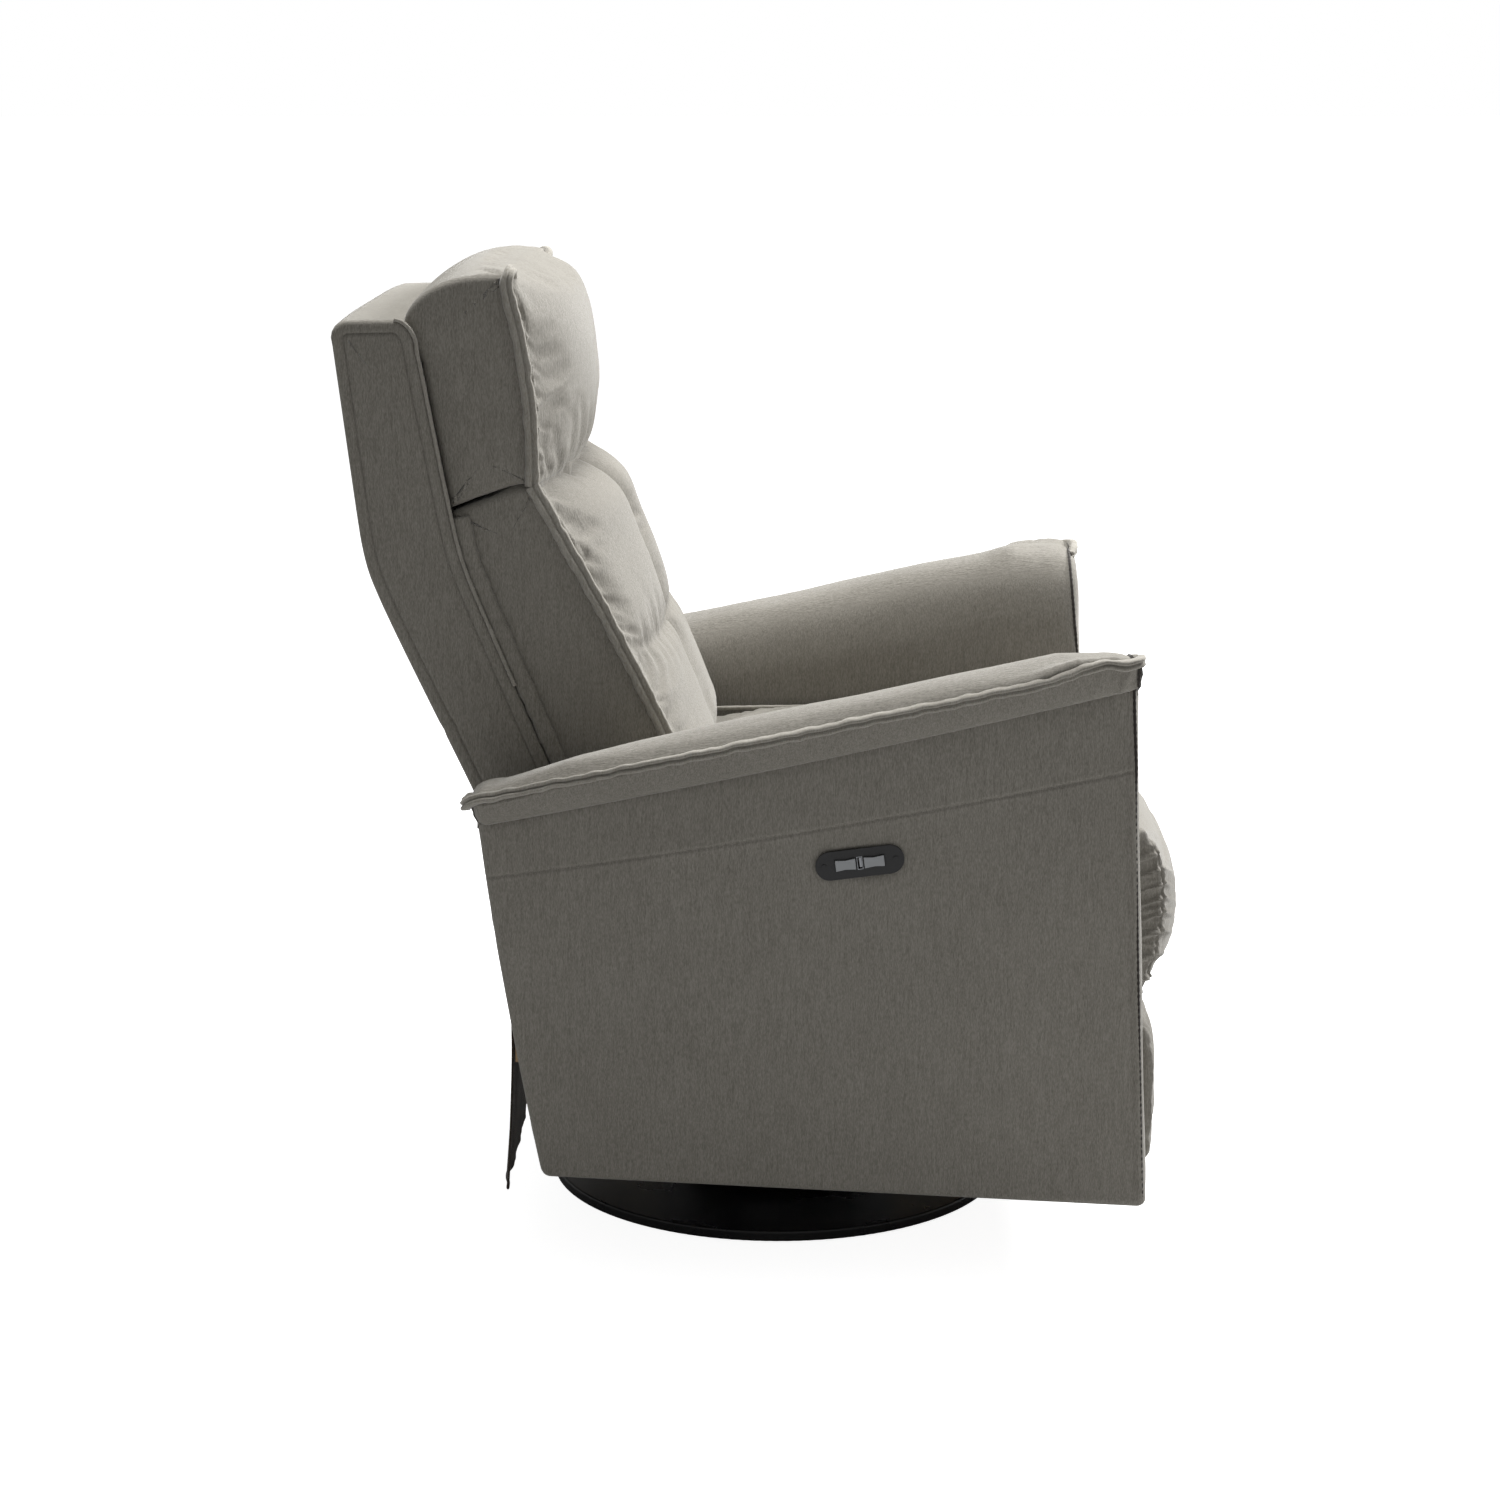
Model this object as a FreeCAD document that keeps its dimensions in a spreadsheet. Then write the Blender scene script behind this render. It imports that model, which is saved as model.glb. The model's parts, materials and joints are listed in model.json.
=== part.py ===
import FreeCAD, Part
import os
import re
import Sketcher

# Power swivel rocker recliner. Millimetres; +Z up, the sitter faces -Y and has their left hand
# at +X. The origin is on the floor, on the swivel axis.

V = FreeCAD.Vector
doc = FreeCAD.newDocument("recliner_armchair")
sheet = doc.addObject("Spreadsheet::Sheet", "dims")

DIMENSIONS = [
    # word, value, meaning
    ("inner_half", 278, "swivel axis to the inner face of an arm"),
    ("arm_thick", 87, "arm, inner face to outer panel"),
    ("roll_out", 33, "arm roll, overhang past the outer panel"),
    ("arm_front", 373, "swivel axis to the front foot of an arm"),
    ("arm_back", 236, "swivel axis to the rear foot of an arm"),
    ("arm_low", 84, "floor to the front lower edge of an arm"),
    ("arm_rise", 30, "rise of an arm's lower edge from front to rear"),
    ("arm_top_front", 649, "floor to the arm roll at the front"),
    ("arm_top_rear", 520, "floor to the arm roll at the rear"),
    ("cover_wall", 12, "arm cover, fabric and wadding"),
    ("panel_thick", 18, "arm frame board"),
    ("disc_radius", 250, "floor disc"),
    ("disc_sheet", 3, "floor disc, steel thickness"),
    ("rim_tall", 12, "floor disc, height of its rolled rim"),
    ("glide_tall", 9, "glide pads under the disc"),
    ("hub_top", 30, "floor to the top of the disc's hub"),
    ("race_mid", 80, "swivel bearing, radius to the ball centres"),
    ("race_tall", 6, "height of a bearing race"),
    ("ball_radius", 4, "bearing balls"),
    ("stud_radius", 10, "swivel stud"),
    ("plate_half", 130, "swivel plate, centre to edge"),
    ("plate_thick", 5, "swivel plate"),
    ("shaft_height", 105, "floor to the rocker shaft"),
    ("shaft_radius", 10, "rocker shaft"),
    ("fit_gap", 0.05, "radial clearance of shafts and pins"),
    ("rail_low", 150, "floor to the underside of the seat frame"),
    ("rail_tall", 140, "seat frame boards"),
    ("rail_thick", 15, "seat side board"),
    ("member_half", 95, "swivel axis to a cross member's middle"),
    ("member_size", 26, "cross member, square tube"),
    ("layer_thick", 4, "mechanism plates and links"),
    ("layer_step", 6, "pitch from one layer of links to the next"),
    ("seat_bottom", 302, "floor to the underside of the seat cushion"),
    ("seat_top", 474, "floor to the top of the seat cushion"),
    ("seat_front", 338, "swivel axis to the front of the seat cushion"),
    ("recline_y", 200, "recline pivot, behind the swivel axis"),
    ("recline_z", 330, "recline pivot above the floor"),
    ("back_tall", 643, "recline pivot to the top of the back"),
    ("rail_wide", 36, "cross rail of the back, height"),
    ("band_gap", 2.6, "back webbing, room above the bottom rail"),
    ("motor_gap", 4.3, "headrest motor, room below the middle rail"),
    ("back_gap", 13, "clearance between the back and an arm"),
    ("shell_wall", 8, "back shell, fabric over board"),
    ("head_split", 0.745, "share of the back's height where the headrest starts"),
    ("head_hinge_half", 138, "swivel axis to a headrest hinge"),
    ("head_over", 68, "headrest pad above the back shell"),
    ("link_span", 165, "footrest links, pin to pin"),
    ("link_wide", 24, "footrest links"),
    ("link_pin_y", 325, "swivel axis to the footrest's first pivot"),
    ("link_pin_z", 270, "footrest's first pivot above the floor"),
    ("pin_radius", 5, "pins of the mechanism"),
    ("board_thick", 12, "footrest board"),
    ("pad_split", 246, "floor to the seam between the two footrest pads"),
    ("nose_out", 73, "upper footrest pad, thickness at its middle"),
    ("shin_out", 52, "lower footrest pad, thickness"),
    ("control_y", -82, "middle of the control plate"),
    ("control_z", 446, "middle of the control plate above the floor"),
    ("control_tilt", -7.3, "control plate, slope along the arm in degrees"),
    ("control_long", 88.5, "control plate, end to end"),
    ("control_tall", 29, "control plate, height"),
    ("control_thick", 3, "control plate"),
    ("button_pitch", 14.3, "control plate's middle to a button's middle"),
    ("button_long", 20, "rocker button, end to end"),
    ("button_tall", 11, "rocker button, height at its ends"),
    ("button_gap", 0.6, "clearance around a button"),
    ("stroke_start", 150, "swivel axis to the carriage at rest"),
]

for row, (word, value, meaning) in enumerate(DIMENSIONS, start=1):
    sheet.set(f"A{row}", word)
    sheet.set(f"B{row}", str(value))
    sheet.set(f"C{row}", meaning)
    sheet.setAlias(f"B{row}", word)
doc.recompute()

WORDS = {word for word, _, _ in DIMENSIONS}
LEFT, RIGHT = 1, -1
SIDES = ((LEFT, "left"), (RIGHT, "right"))
nodes = []


# ---------------------------------------------------------------- expressions and building blocks

def bound(text):
    """An expression with the sheet's name in front of each of its words."""
    return re.sub(r"[a-z_][a-z_0-9]*",
                  lambda found: "dims." + found.group() if found.group() in WORDS else found.group(),
                  str(text))


def value(text):
    """The number an expression stands for now."""
    return float(sheet.evalExpression(bound(text)))


def bind(thing, **expressions):
    """Tie properties to the sheet; a double underscore in a name stands for a dot."""
    for path, text in expressions.items():
        thing.setExpression(path.replace("__", "."), bound(text))


def keep(thing):
    """List an object as one sub-part of the chair."""
    nodes.append(thing)
    return thing


def mix(first, last, share):
    """An expression part of the way from one to another."""
    return f"({first}) + (({last}) - ({first})) * {share}"


def span(side, near, far):
    """The two x limits of a piece that lies from near to far on one side of the chair."""
    return (f"{near}", f"{far}") if side == LEFT else (f"-({far})", f"-({near})")


def layer(side, number):
    """The x limits of one layer of mechanism plates, counted inwards from the side board."""
    far = f"inner_half - rail_thick - layer_step * {number}"
    return span(side, f"{far} - layer_thick", far)


def origin_plane(body, role):
    return next(item for item in body.Origin.OriginFeatures if item.Role == role)


def sketch(body, name, outline, offset, role="YZ_Plane"):
    """A closed outline, or a circle given as (y, z, radius), held by the sheet's values."""
    drawn = body.newObject("Sketcher::SketchObject", name)
    drawn.AttachmentSupport = [(origin_plane(body, role), "")]
    drawn.MapMode = "FlatFace"
    bind(drawn, AttachmentOffset__Base__z=offset)
    if isinstance(outline, tuple):
        across, up, radius = outline
        centre = V(value(across), value(up), 0)
        drawn.addGeometry(Part.Circle(centre, V(0, 0, 1), value(radius)))
        spots = [(0, 3, (across, up))]
        held = drawn.addConstraint(Sketcher.Constraint("Radius", 0, value(radius)))
        drawn.setExpression(f"Constraints[{held}]", bound(radius))
    else:
        corners = [V(value(across), value(up), 0) for across, up in outline]
        for number, corner in enumerate(corners):
            following = corners[(number + 1) % len(corners)]
            drawn.addGeometry(Part.LineSegment(corner, following))
        for number in range(len(corners)):
            following = (number + 1) % len(corners)
            drawn.addConstraint(Sketcher.Constraint("Coincident", number, 2, following, 1))
        spots = [(number, 1, corner) for number, corner in enumerate(outline)]
    for number, end, corner in spots:
        for kind, text in zip(("DistanceX", "DistanceY"), corner):
            held = drawn.addConstraint(Sketcher.Constraint(kind, -1, 1, number, end, value(text)))
            drawn.setExpression(f"Constraints[{held}]", bound(text))
    return drawn


def round_off(body, radius, chosen):
    """Round the edges of a body's last feature that the test picks out."""
    doc.recompute()
    base = body.Tip
    edges = [f"Edge{number}" for number, edge in enumerate(base.Shape.Edges, start=1) if chosen(edge)]
    fillet = body.newObject("PartDesign::Fillet", body.Name + "_round")
    fillet.Base = (base, edges)
    fillet.Radius = radius
    return fillet


def along_x(edge):
    """True for the straight edges that run across the chair."""
    return len(edge.Vertexes) == 2 and abs(edge.tangentAt(edge.FirstParameter).x) > 0.999


def slab(name, steps, rounding=0):
    """A body of outlines in the side view, each a pad or a cut between two x limits."""
    body = doc.addObject("PartDesign::Body", name)
    for number, (kind, outline, (near, far)) in enumerate(steps, start=1):
        start = near if kind == "pad" else far
        drawn = sketch(body, f"{name}_outline_{number}", outline, start)
        feature_type = "PartDesign::Pad" if kind == "pad" else "PartDesign::Pocket"
        feature = body.newObject(feature_type, f"{name}_{kind}_{number}")
        feature.Profile = drawn
        bind(feature, Length=f"({far}) - ({near})")
    if rounding:
        round_off(body, rounding, along_x)
    return body


def bar(name, across, along, up):
    """A box between two limits on each axis."""
    box = doc.addObject("Part::Box", name)
    limits = (across, along, up)
    for size, place, (low, high) in zip(("Length", "Width", "Height"), "xyz", limits):
        bind(box, **{size: f"({high}) - ({low})", f"Placement__Base__{place}": low})
    return box


def cylinder(name, radius, spot, axis, low, high):
    """A round bar along x, y or z between two limits; spot is its centre on the other two axes."""
    turned = doc.addObject("Part::Cylinder", name)
    turn = {"x": FreeCAD.Rotation(V(0, 1, 0), 90), "y": FreeCAD.Rotation(V(1, 0, 0), -90),
            "z": FreeCAD.Rotation()}[axis]
    turned.Placement = FreeCAD.Placement(V(0, 0, 0), turn)
    others = [name for name in "xyz" if name != axis]
    bind(turned, Radius=radius, Height=f"({high}) - ({low})")
    bind(turned, **{f"Placement__Base__{axis}": low})
    for other, text in zip(others, spot):
        bind(turned, **{f"Placement__Base__{other}": text})
    return turned


def group(name, members):
    """Separate solids that share one sub-part."""
    joined = doc.addObject("Part::Compound", name)
    joined.Links = members
    return joined


def both_sides(name, build):
    """A mirrored pair of pieces that share one sub-part; build makes the piece of one side."""
    return keep(group(name, [build(side, f"{name}_{label}") for side, label in SIDES]))


def cut(name, base, *tools):
    """A solid with others taken out of it."""
    for number, tool in enumerate(tools, start=1):
        taken = doc.addObject("Part::Cut", name if number == len(tools) else f"{name}_step_{number}")
        taken.Base, taken.Tool = base, tool
        base = taken
    return base


# ---------------------------------------------------------------- base: disc, glides, lower race

def make_base():
    rim = "disc_radius - 7"
    low = "glide_tall"
    under = "hub_top - disc_sheet"
    disc = doc.addObject("PartDesign::Body", "base_disc")
    outline = [("stud_radius + fit_gap", under), ("race_mid + 14", under), ("race_mid + 34", low),
               (rim, low), (rim, "glide_tall / 3"), ("disc_radius", "glide_tall / 3"),
               ("disc_radius", "glide_tall / 3 + rim_tall"), (rim, "glide_tall / 3 + rim_tall"),
               (rim, f"{low} + disc_sheet"), ("race_mid + 36", f"{low} + disc_sheet"),
               ("race_mid + 16", "hub_top"), ("stud_radius + fit_gap", "hub_top")]
    drawn = sketch(disc, "base_disc_outline", outline, "0", role="XZ_Plane")
    turned = disc.newObject("PartDesign::Revolution", "base_disc_turned")
    turned.Profile = drawn
    turned.ReferenceAxis = (drawn, ["V_Axis"])
    turned.Angle = 360
    round_off(disc, 2.5, lambda edge: abs(edge.BoundBox.XMax - value("disc_radius")) < 0.01
              and edge.BoundBox.ZLength < 0.01)
    keep(disc)

    glides = []
    for number in range(8):
        turn = number * 45 + 22.5
        place = (f"(disc_radius - 22) * cos({turn})", f"(disc_radius - 22) * sin({turn})")
        glides.append(cylinder(f"glide_{number + 1}", "11", place, "z", "0", "glide_tall"))
    keep(group("glide_pads", glides))

    keep(ring("lower_race", "hub_top", "hub_top + race_tall"))

    bolts = []
    for number in range(4):
        turn = number * 90 + 45
        place = (f"(race_mid - 34) * cos({turn})", f"(race_mid - 34) * sin({turn})")
        bolts.append(cylinder(f"base_bolt_{number + 1}", "7", place, "z", "hub_top", "hub_top + 5"))
    keep(group("base_bolts", bolts))


def ring(name, low, high):
    """A bearing race around the swivel axis."""
    outer = cylinder(name + "_outer", "race_mid + 11", ("0", "0"), "z", low, high)
    inner = cylinder(name + "_inner", "race_mid - 11", ("0", "0"), "z", f"{low} - 1", f"{high} + 1")
    return cut(name, outer, inner)


# ---------------------------------------------------------------- turntable: bearing, plate, rocker stand

BALL_Z = "hub_top + race_tall + 0.2 + ball_radius"
UPPER_RACE_Z = "hub_top + race_tall + 0.4 + 2 * ball_radius"
TURN_PLATE_Z = f"{UPPER_RACE_Z} + race_tall"
TURN_TOP_Z = f"{TURN_PLATE_Z} + plate_thick"
MEMBER_TOP_Z = "rail_low + member_size"


def make_turntable():
    balls = []
    for number in range(20):
        ball = doc.addObject("Part::Sphere", f"ball_{number + 1}")
        turn = number * 18
        bind(ball, Radius="ball_radius", Placement__Base__x=f"race_mid * cos({turn})",
             Placement__Base__y=f"race_mid * sin({turn})", Placement__Base__z=BALL_Z)
        balls.append(ball)
    keep(group("bearing_balls", balls))
    keep(ring("upper_race", UPPER_RACE_Z, TURN_PLATE_Z))

    stud = doc.addObject("Part::MultiFuse", "swivel_stud")
    shank = cylinder("swivel_stud_shank", "stud_radius", ("0", "0"), "z",
                     "hub_top - disc_sheet - 8", TURN_PLATE_Z)
    nut = cylinder("swivel_stud_nut", "stud_radius + 8", ("0", "0"), "z",
                   "hub_top - disc_sheet - 9", "hub_top - disc_sheet - 1")
    stud.Shapes = [shank, nut]
    keep(stud)

    plate = bar("swivel_plate_blank", ("-plate_half", "plate_half"), ("-plate_half", "plate_half"),
                (TURN_PLATE_Z, TURN_TOP_Z))
    holes = []
    for number in range(4):
        turn = number * 90 + 45
        place = (f"(plate_half * 1.2) * cos({turn})", f"(plate_half * 1.2) * sin({turn})")
        holes.append(cylinder(f"swivel_plate_hole_{number + 1}", "5", place, "z",
                              f"{TURN_PLATE_Z} - 1", f"{TURN_TOP_Z} + 1"))
    keep(cut("swivel_plate", plate, *holes))

    stand = [("-plate_half * 0.5", TURN_TOP_Z), ("plate_half * 0.5", TURN_TOP_Z),
             ("shaft_radius + 7", "shaft_height"), ("-shaft_radius - 7", "shaft_height")]


    def one_stand(side, name):
        limits = span(side, "plate_half - 24", "plate_half - 18")
        return slab(name, [("pad", stand, limits),
                           ("pad", ("0", "shaft_height", "shaft_radius + 7"), limits),
                           ("cut", ("0", "shaft_height", "shaft_radius"), limits)])

    both_sides("rocker_stands", one_stand)
    keep(cylinder("rocker_shaft", "shaft_radius", ("0", "shaft_height"), "x",
                  "-plate_half + 8", "plate_half - 8"))
    keep(make_springs())


def coil(foot, height, radius, wire, turns):
    """One upright coil spring that stands on foot."""
    rise = height - 2 * wire
    helix = Part.makeHelix(rise / turns, rise, radius)
    start = helix.Edges[0].valueAt(helix.Edges[0].FirstParameter)
    ring_wire = Part.Wire(Part.makeCircle(wire, start, V(0, 1, 0)))
    solid = Part.Wire(helix.Edges).makePipeShell([ring_wire], True, True)
    solid.translate(foot + V(0, 0, wire))
    return solid


def make_springs():
    """The springs that bring the rocker back to its middle."""
    floor = value(TURN_TOP_Z)
    height = value("rail_low") - floor
    spots = [V(x * 55, y * value("member_half"), floor) for x in (LEFT, RIGHT) for y in (LEFT, RIGHT)]
    springs = doc.addObject("Part::Feature", "rocker_springs")
    springs.Shape = Part.makeCompound([coil(spot, height, 17, 2.5, 5) for spot in spots])
    return springs


# ---------------------------------------------------------------- seat frame and its rocker hangers

def make_seat_frame():
    reach = "member_half + member_size / 2"
    hanger = [(f"-({reach})", "rail_low"), (f"-({reach})", "rail_low - 12"),
              ("-shaft_radius - 7", "shaft_height"), ("shaft_radius + 7", "shaft_height"),
              (reach, "rail_low - 12"), (reach, "rail_low")]


    def one_hanger(side, name):
        limits = span(side, "plate_half - 34", "plate_half - 28")
        return slab(name, [("pad", hanger, limits),
                           ("pad", ("0", "shaft_height", "shaft_radius + 7"), limits),
                           ("cut", ("0", "shaft_height", "shaft_radius + fit_gap"), limits)])

    def one_board(side, name):
        return bar(name, span(side, "inner_half - rail_thick", "inner_half"),
                   ("-link_pin_y", "arm_back + 14"), ("rail_low", "rail_low + rail_tall"))

    def one_member(sign, name):
        middle = f"{sign} * member_half"
        return bar(name, inside, (f"{middle} - member_size / 2", f"{middle} + member_size / 2"),
                   ("rail_low", MEMBER_TOP_Z))

    inside = ("-inner_half + rail_thick", "inner_half - rail_thick")
    both_sides("rocker_hangers", one_hanger)
    both_sides("side_boards", one_board)
    both_sides("cross_members", one_member)
    keep(bar("front_rail",
             ("-inner_half + rail_thick + 2 * layer_step", "inner_half - rail_thick - 2 * layer_step"),
             ("-link_pin_y + 35", "-link_pin_y + 55"), ("rail_low + rail_tall - 55", "rail_low + rail_tall")))
    keep(bar("rear_rail", ("-inner_half", "inner_half"), ("arm_back + 14", "arm_back + 34"),
             ("rail_low + rail_tall - 80", "rail_low + rail_tall")))
    keep(bar("rear_skirt", ("-inner_half + 14", "inner_half - 14"),
             ("arm_back + 34", "arm_back + 40"), ("arm_low - 19", "rail_low + rail_tall + 26")))

    springs = doc.addObject("Part::Feature", "seat_springs")
    front, rear = -value("link_pin_y") + 45, value("arm_back") + 24
    height = value("rail_low + rail_tall") + 2.2
    pitch = value("inner_half") * SPRING_PITCH
    rows = [(number - (SPRING_COUNT - 1) / 2) * pitch for number in range(SPRING_COUNT)]
    springs.Shape = Part.makeCompound([zigzag(x, front, rear, height) for x in rows])
    keep(springs)


SPRING_COUNT, SPRING_PITCH = 6, 0.2734


def zigzag(x, y_start, y_end, z):
    """One sinuous seat spring: wire that snakes from the front rail to the rear rail."""
    wire, half_wide = 2.0, 20.0
    runs = max(4, 2 * round((y_end - y_start) / 60))
    step = (y_end - y_start) / runs
    edges = []
    for number in range(runs):
        side = 1 if number % 2 == 0 else -1
        y = y_start + number * step
        bend = step / 2
        left = V(x - side * (half_wide - bend), y, z)
        right = V(x + side * (half_wide - bend), y, z)
        edges.append(Part.LineSegment(left, right).toShape())
        if number < runs - 1:
            crown = V(right.x + side * bend, y + bend, z)
            edges.append(Part.Arc(right, crown, V(right.x, y + step, z)).toShape())
    path = Part.Wire(edges)
    first = edges[0].valueAt(edges[0].FirstParameter)
    section = Part.Wire(Part.makeCircle(wire, first, V(1, 0, 0)))
    return path.makePipeShell([section], True, False)


# ---------------------------------------------------------------- recline mechanism plates and pins

def make_mechanism():
    top = "rail_low + rail_tall"
    plate = [("-link_pin_y - 14", "link_pin_z - 16"), ("-link_pin_y + 60", "link_pin_z - 50"),
             ("recline_y - 20", "recline_z - 95"), ("recline_y + 16", "recline_z - 40"),
             ("recline_y + 16", "recline_z"), ("recline_y - 16", "recline_z"),
             ("recline_y - 30", top), ("-link_pin_y - 14", f"{top} - 4")]

    def one_plate(side, name):
        return slab(name, [("pad", plate, layer(side, 0)),
                           ("pad", ("recline_y", "recline_z", "16"), layer(side, 0)),
                           ("cut", ("recline_y", "recline_z", "pin_radius"), layer(side, 0)),
                           ("cut", ("-link_pin_y", "link_pin_z", "pin_radius"), layer(side, 0))])

    both_sides("side_plates", one_plate)
    keep(pins("seat_pins", 0, [("recline_y", "recline_z"), ("-link_pin_y", "link_pin_z")]))


def pins(name, number, spots):
    """Pins fixed in one layer of plates on both sides, that carry the next layer inwards."""
    made = []
    for side, label in SIDES:
        for place, spot in enumerate(spots, start=1):
            outer = layer(side, number)
            inner = layer(side, number + 1)
            low, high = (f"{inner[0]} - 0.8", outer[1]) if side == LEFT else (outer[0], f"{inner[1]} + 0.8")
            made.append(cylinder(f"{name}_{label}_{place}", "pin_radius", spot, "x", low, high))
    return group(name, made)


LINK_LOW_Z = "link_pin_z - link_span"
TUBE_SPOT = ("-link_pin_y + 25", "link_pin_z - 65")


def link_outline_steps(side, number, top_hole, low_hole):
    """An upright link with rounded ends and a hole for a pin at each."""
    limits = layer(side, number)
    half, middle = "link_wide / 2", "-link_pin_y"
    strip = [(f"{middle} - {half}", LINK_LOW_Z), (f"{middle} + {half}", LINK_LOW_Z),
             (f"{middle} + {half}", "link_pin_z"), (f"{middle} - {half}", "link_pin_z")]
    return [("pad", strip, limits), ("pad", (middle, LINK_LOW_Z, half), limits),
            ("pad", (middle, "link_pin_z", half), limits),
            ("cut", (middle, "link_pin_z", top_hole), limits),
            ("cut", (middle, LINK_LOW_Z, low_hole), limits)]


def make_footrest():
    loose, tight = "pin_radius + fit_gap", "pin_radius"
    ear_y, ear_z = TUBE_SPOT
    ear = [("-link_pin_y - 4", "link_pin_z - 95"), (f"{ear_y} + 4", f"{ear_z} - 12"),
           (f"{ear_y} + 11", f"{ear_z} - 6"), (f"{ear_y} + 11", f"{ear_z} + 6"),
           (f"{ear_y} + 4", f"{ear_z} + 12"), ("-link_pin_y - 4", "link_pin_z - 35")]


    def one_lift_link(side, name):
        steps = link_outline_steps(side, 1, loose, tight)
        ear_steps = [("pad", ear, layer(side, 1)), ("cut", (ear_y, ear_z, "8"), layer(side, 1))]
        return slab(name, steps[:3] + ear_steps + steps[3:])

    def one_swing_link(side, name):
        return slab(name, link_outline_steps(side, 2, tight, loose))

    both_sides("lift_links", one_lift_link)
    both_sides("swing_links", one_swing_link)
    tube_x = layer(LEFT, 1)
    keep(cylinder("drive_tube", "8", TUBE_SPOT, "x", f"-({tube_x[1]})", tube_x[1]))
    keep(pins("lift_link_pins", 1, [("-link_pin_y", LINK_LOW_Z)]))
    keep(pins("swing_link_pins", 2, [("-link_pin_y", "link_pin_z")]))

    back_face, front_face = "-link_pin_y - 20", "-link_pin_y - 20 - board_thick"
    half = "inner_half - 34"
    keep(bar("footrest_board", (f"-({half})", half), (front_face, back_face),
             ("arm_low + 11", "seat_top - 34")))
    outline = [(back_face, "link_pin_z - 30"), ("-link_pin_y", "link_pin_z - 12"),
               ("-link_pin_y", "link_pin_z + 12"), (back_face, "link_pin_z + 30")]

    def one_bracket(side, name):
        return slab(name, [("pad", outline, layer(side, 3)),
                           ("pad", ("-link_pin_y", "link_pin_z", "12"), layer(side, 3)),
                           ("cut", ("-link_pin_y", "link_pin_z", loose), layer(side, 3))])

    both_sides("footrest_brackets", one_bracket)

    wide = ("-(inner_half - 14)", "inner_half - 14")
    nose_top, nose_low = "seat_top - 18", "pad_split + 4"
    nose = [(front_face, nose_low), (f"{front_face} - nose_out * 0.55", nose_low),
            (f"{front_face} - nose_out * 0.86", mix(nose_low, nose_top, 0.2)),
            (f"{front_face} - nose_out", mix(nose_low, nose_top, 0.45)),
            (f"{front_face} - nose_out * 0.82", mix(nose_low, nose_top, 0.75)),
            (f"{front_face} - nose_out * 0.42", f"{nose_top} - 6"),
            (front_face, nose_top)]
    keep(slab("footrest_pad_upper", [("pad", nose, wide)], rounding=8))
    shin_top, shin_low = "pad_split - 4", "arm_low + 5"
    shin = [(front_face, shin_low), (f"{front_face} - shin_out * 0.92", shin_low),
            (f"{front_face} - shin_out", mix(shin_low, shin_top, 0.5)),
            (f"{front_face} - shin_out * 0.78", shin_top), (front_face, shin_top)]
    keep(slab("footrest_pad_lower", [("pad", shin, wide)], rounding=8))


# ---------------------------------------------------------------- seat cushion and arms

def back_spot(depth, share):
    """A point of the back at rest: depth behind the recline pivot, height as a share of its own."""
    return (f"recline_y + {depth}", f"recline_z + back_tall * {share}")


SHELL_FRONT = [(-37, 0.034), (61, 0.411), (130, 0.692), (152, 0.886), (178, 1.0)]
SHELL_REAR = [(47, 0.034), (145, 0.372), (202, 0.56), (230, 0.777), (243, 0.972), (232, 1.0)]


def make_seat_cushion():
    outline = [("-seat_front", "seat_bottom"), ("recline_y - 62", "seat_bottom"),
               ("recline_y + 2", "seat_top - 6"), ("recline_y - 12", "seat_top"),
               ("-seat_front + 160", "seat_top"), ("-seat_front + 22", "seat_top - 12"),
               ("-seat_front", "seat_top - 36")]
    wide = ("-(inner_half - 6)", "inner_half - 6")
    keep(slab("seat_cushion", [("pad", outline, wide)]))


def arm_outline():
    """Side view of an arm's outer panel, from its rear foot forwards and round."""
    return [("arm_back", "arm_low + arm_rise"), ("-arm_front", "arm_low"),
            ("-arm_front + 6", mix("arm_low", "arm_top_front", 0.5)),
            ("-arm_front + 19", "arm_top_front - 8"), ("-arm_front + 50", "arm_top_front"),
            (mix("-arm_front + 50", "arm_back + 64", 0.5),
             mix("arm_top_front", "arm_top_rear", 0.5) + " + 7"),
            ("arm_back + 64", "arm_top_rear"), ("arm_back + 60", "arm_top_rear - 40"),
            ("arm_back + 44", mix("arm_low", "arm_top_rear", 0.62))]


def arm_roll_outline():
    """The padded roll along the top of an arm, from the crease under it to its crown."""
    outline = arm_outline()
    crown = outline[3:7]
    return crown + [("arm_back + 62", "arm_top_rear - 34"),
                    (mix("-arm_front + 50", "arm_back + 64", 0.5),
                     mix("arm_top_front", "arm_top_rear", 0.5) + " - 34"),
                    ("-arm_front + 24", "arm_top_front - 34")]


def arm_pocket_outline():
    """The hollow of an arm cover, open at the bottom."""
    return [("arm_back - 16", "arm_low - 5"), ("-arm_front + 18", "arm_low - 5"),
            ("-arm_front + 38", "arm_top_front - 46"),
            (mix("-arm_front + 50", "arm_back + 64", 0.5),
             mix("arm_top_front", "arm_top_rear", 0.5) + " - 32"),
            ("arm_back + 34", "arm_top_rear - 36"),
            ("arm_back + 26", mix("arm_low", "arm_top_rear", 0.62))]


def control_spot(along, up):
    """A place on the control plate, as a point in the side view of the chair."""
    return (f"control_y + ({along}) * cos(control_tilt) - ({up}) * sin(control_tilt)",
            f"control_z + ({along}) * sin(control_tilt) + ({up}) * cos(control_tilt)")


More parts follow.
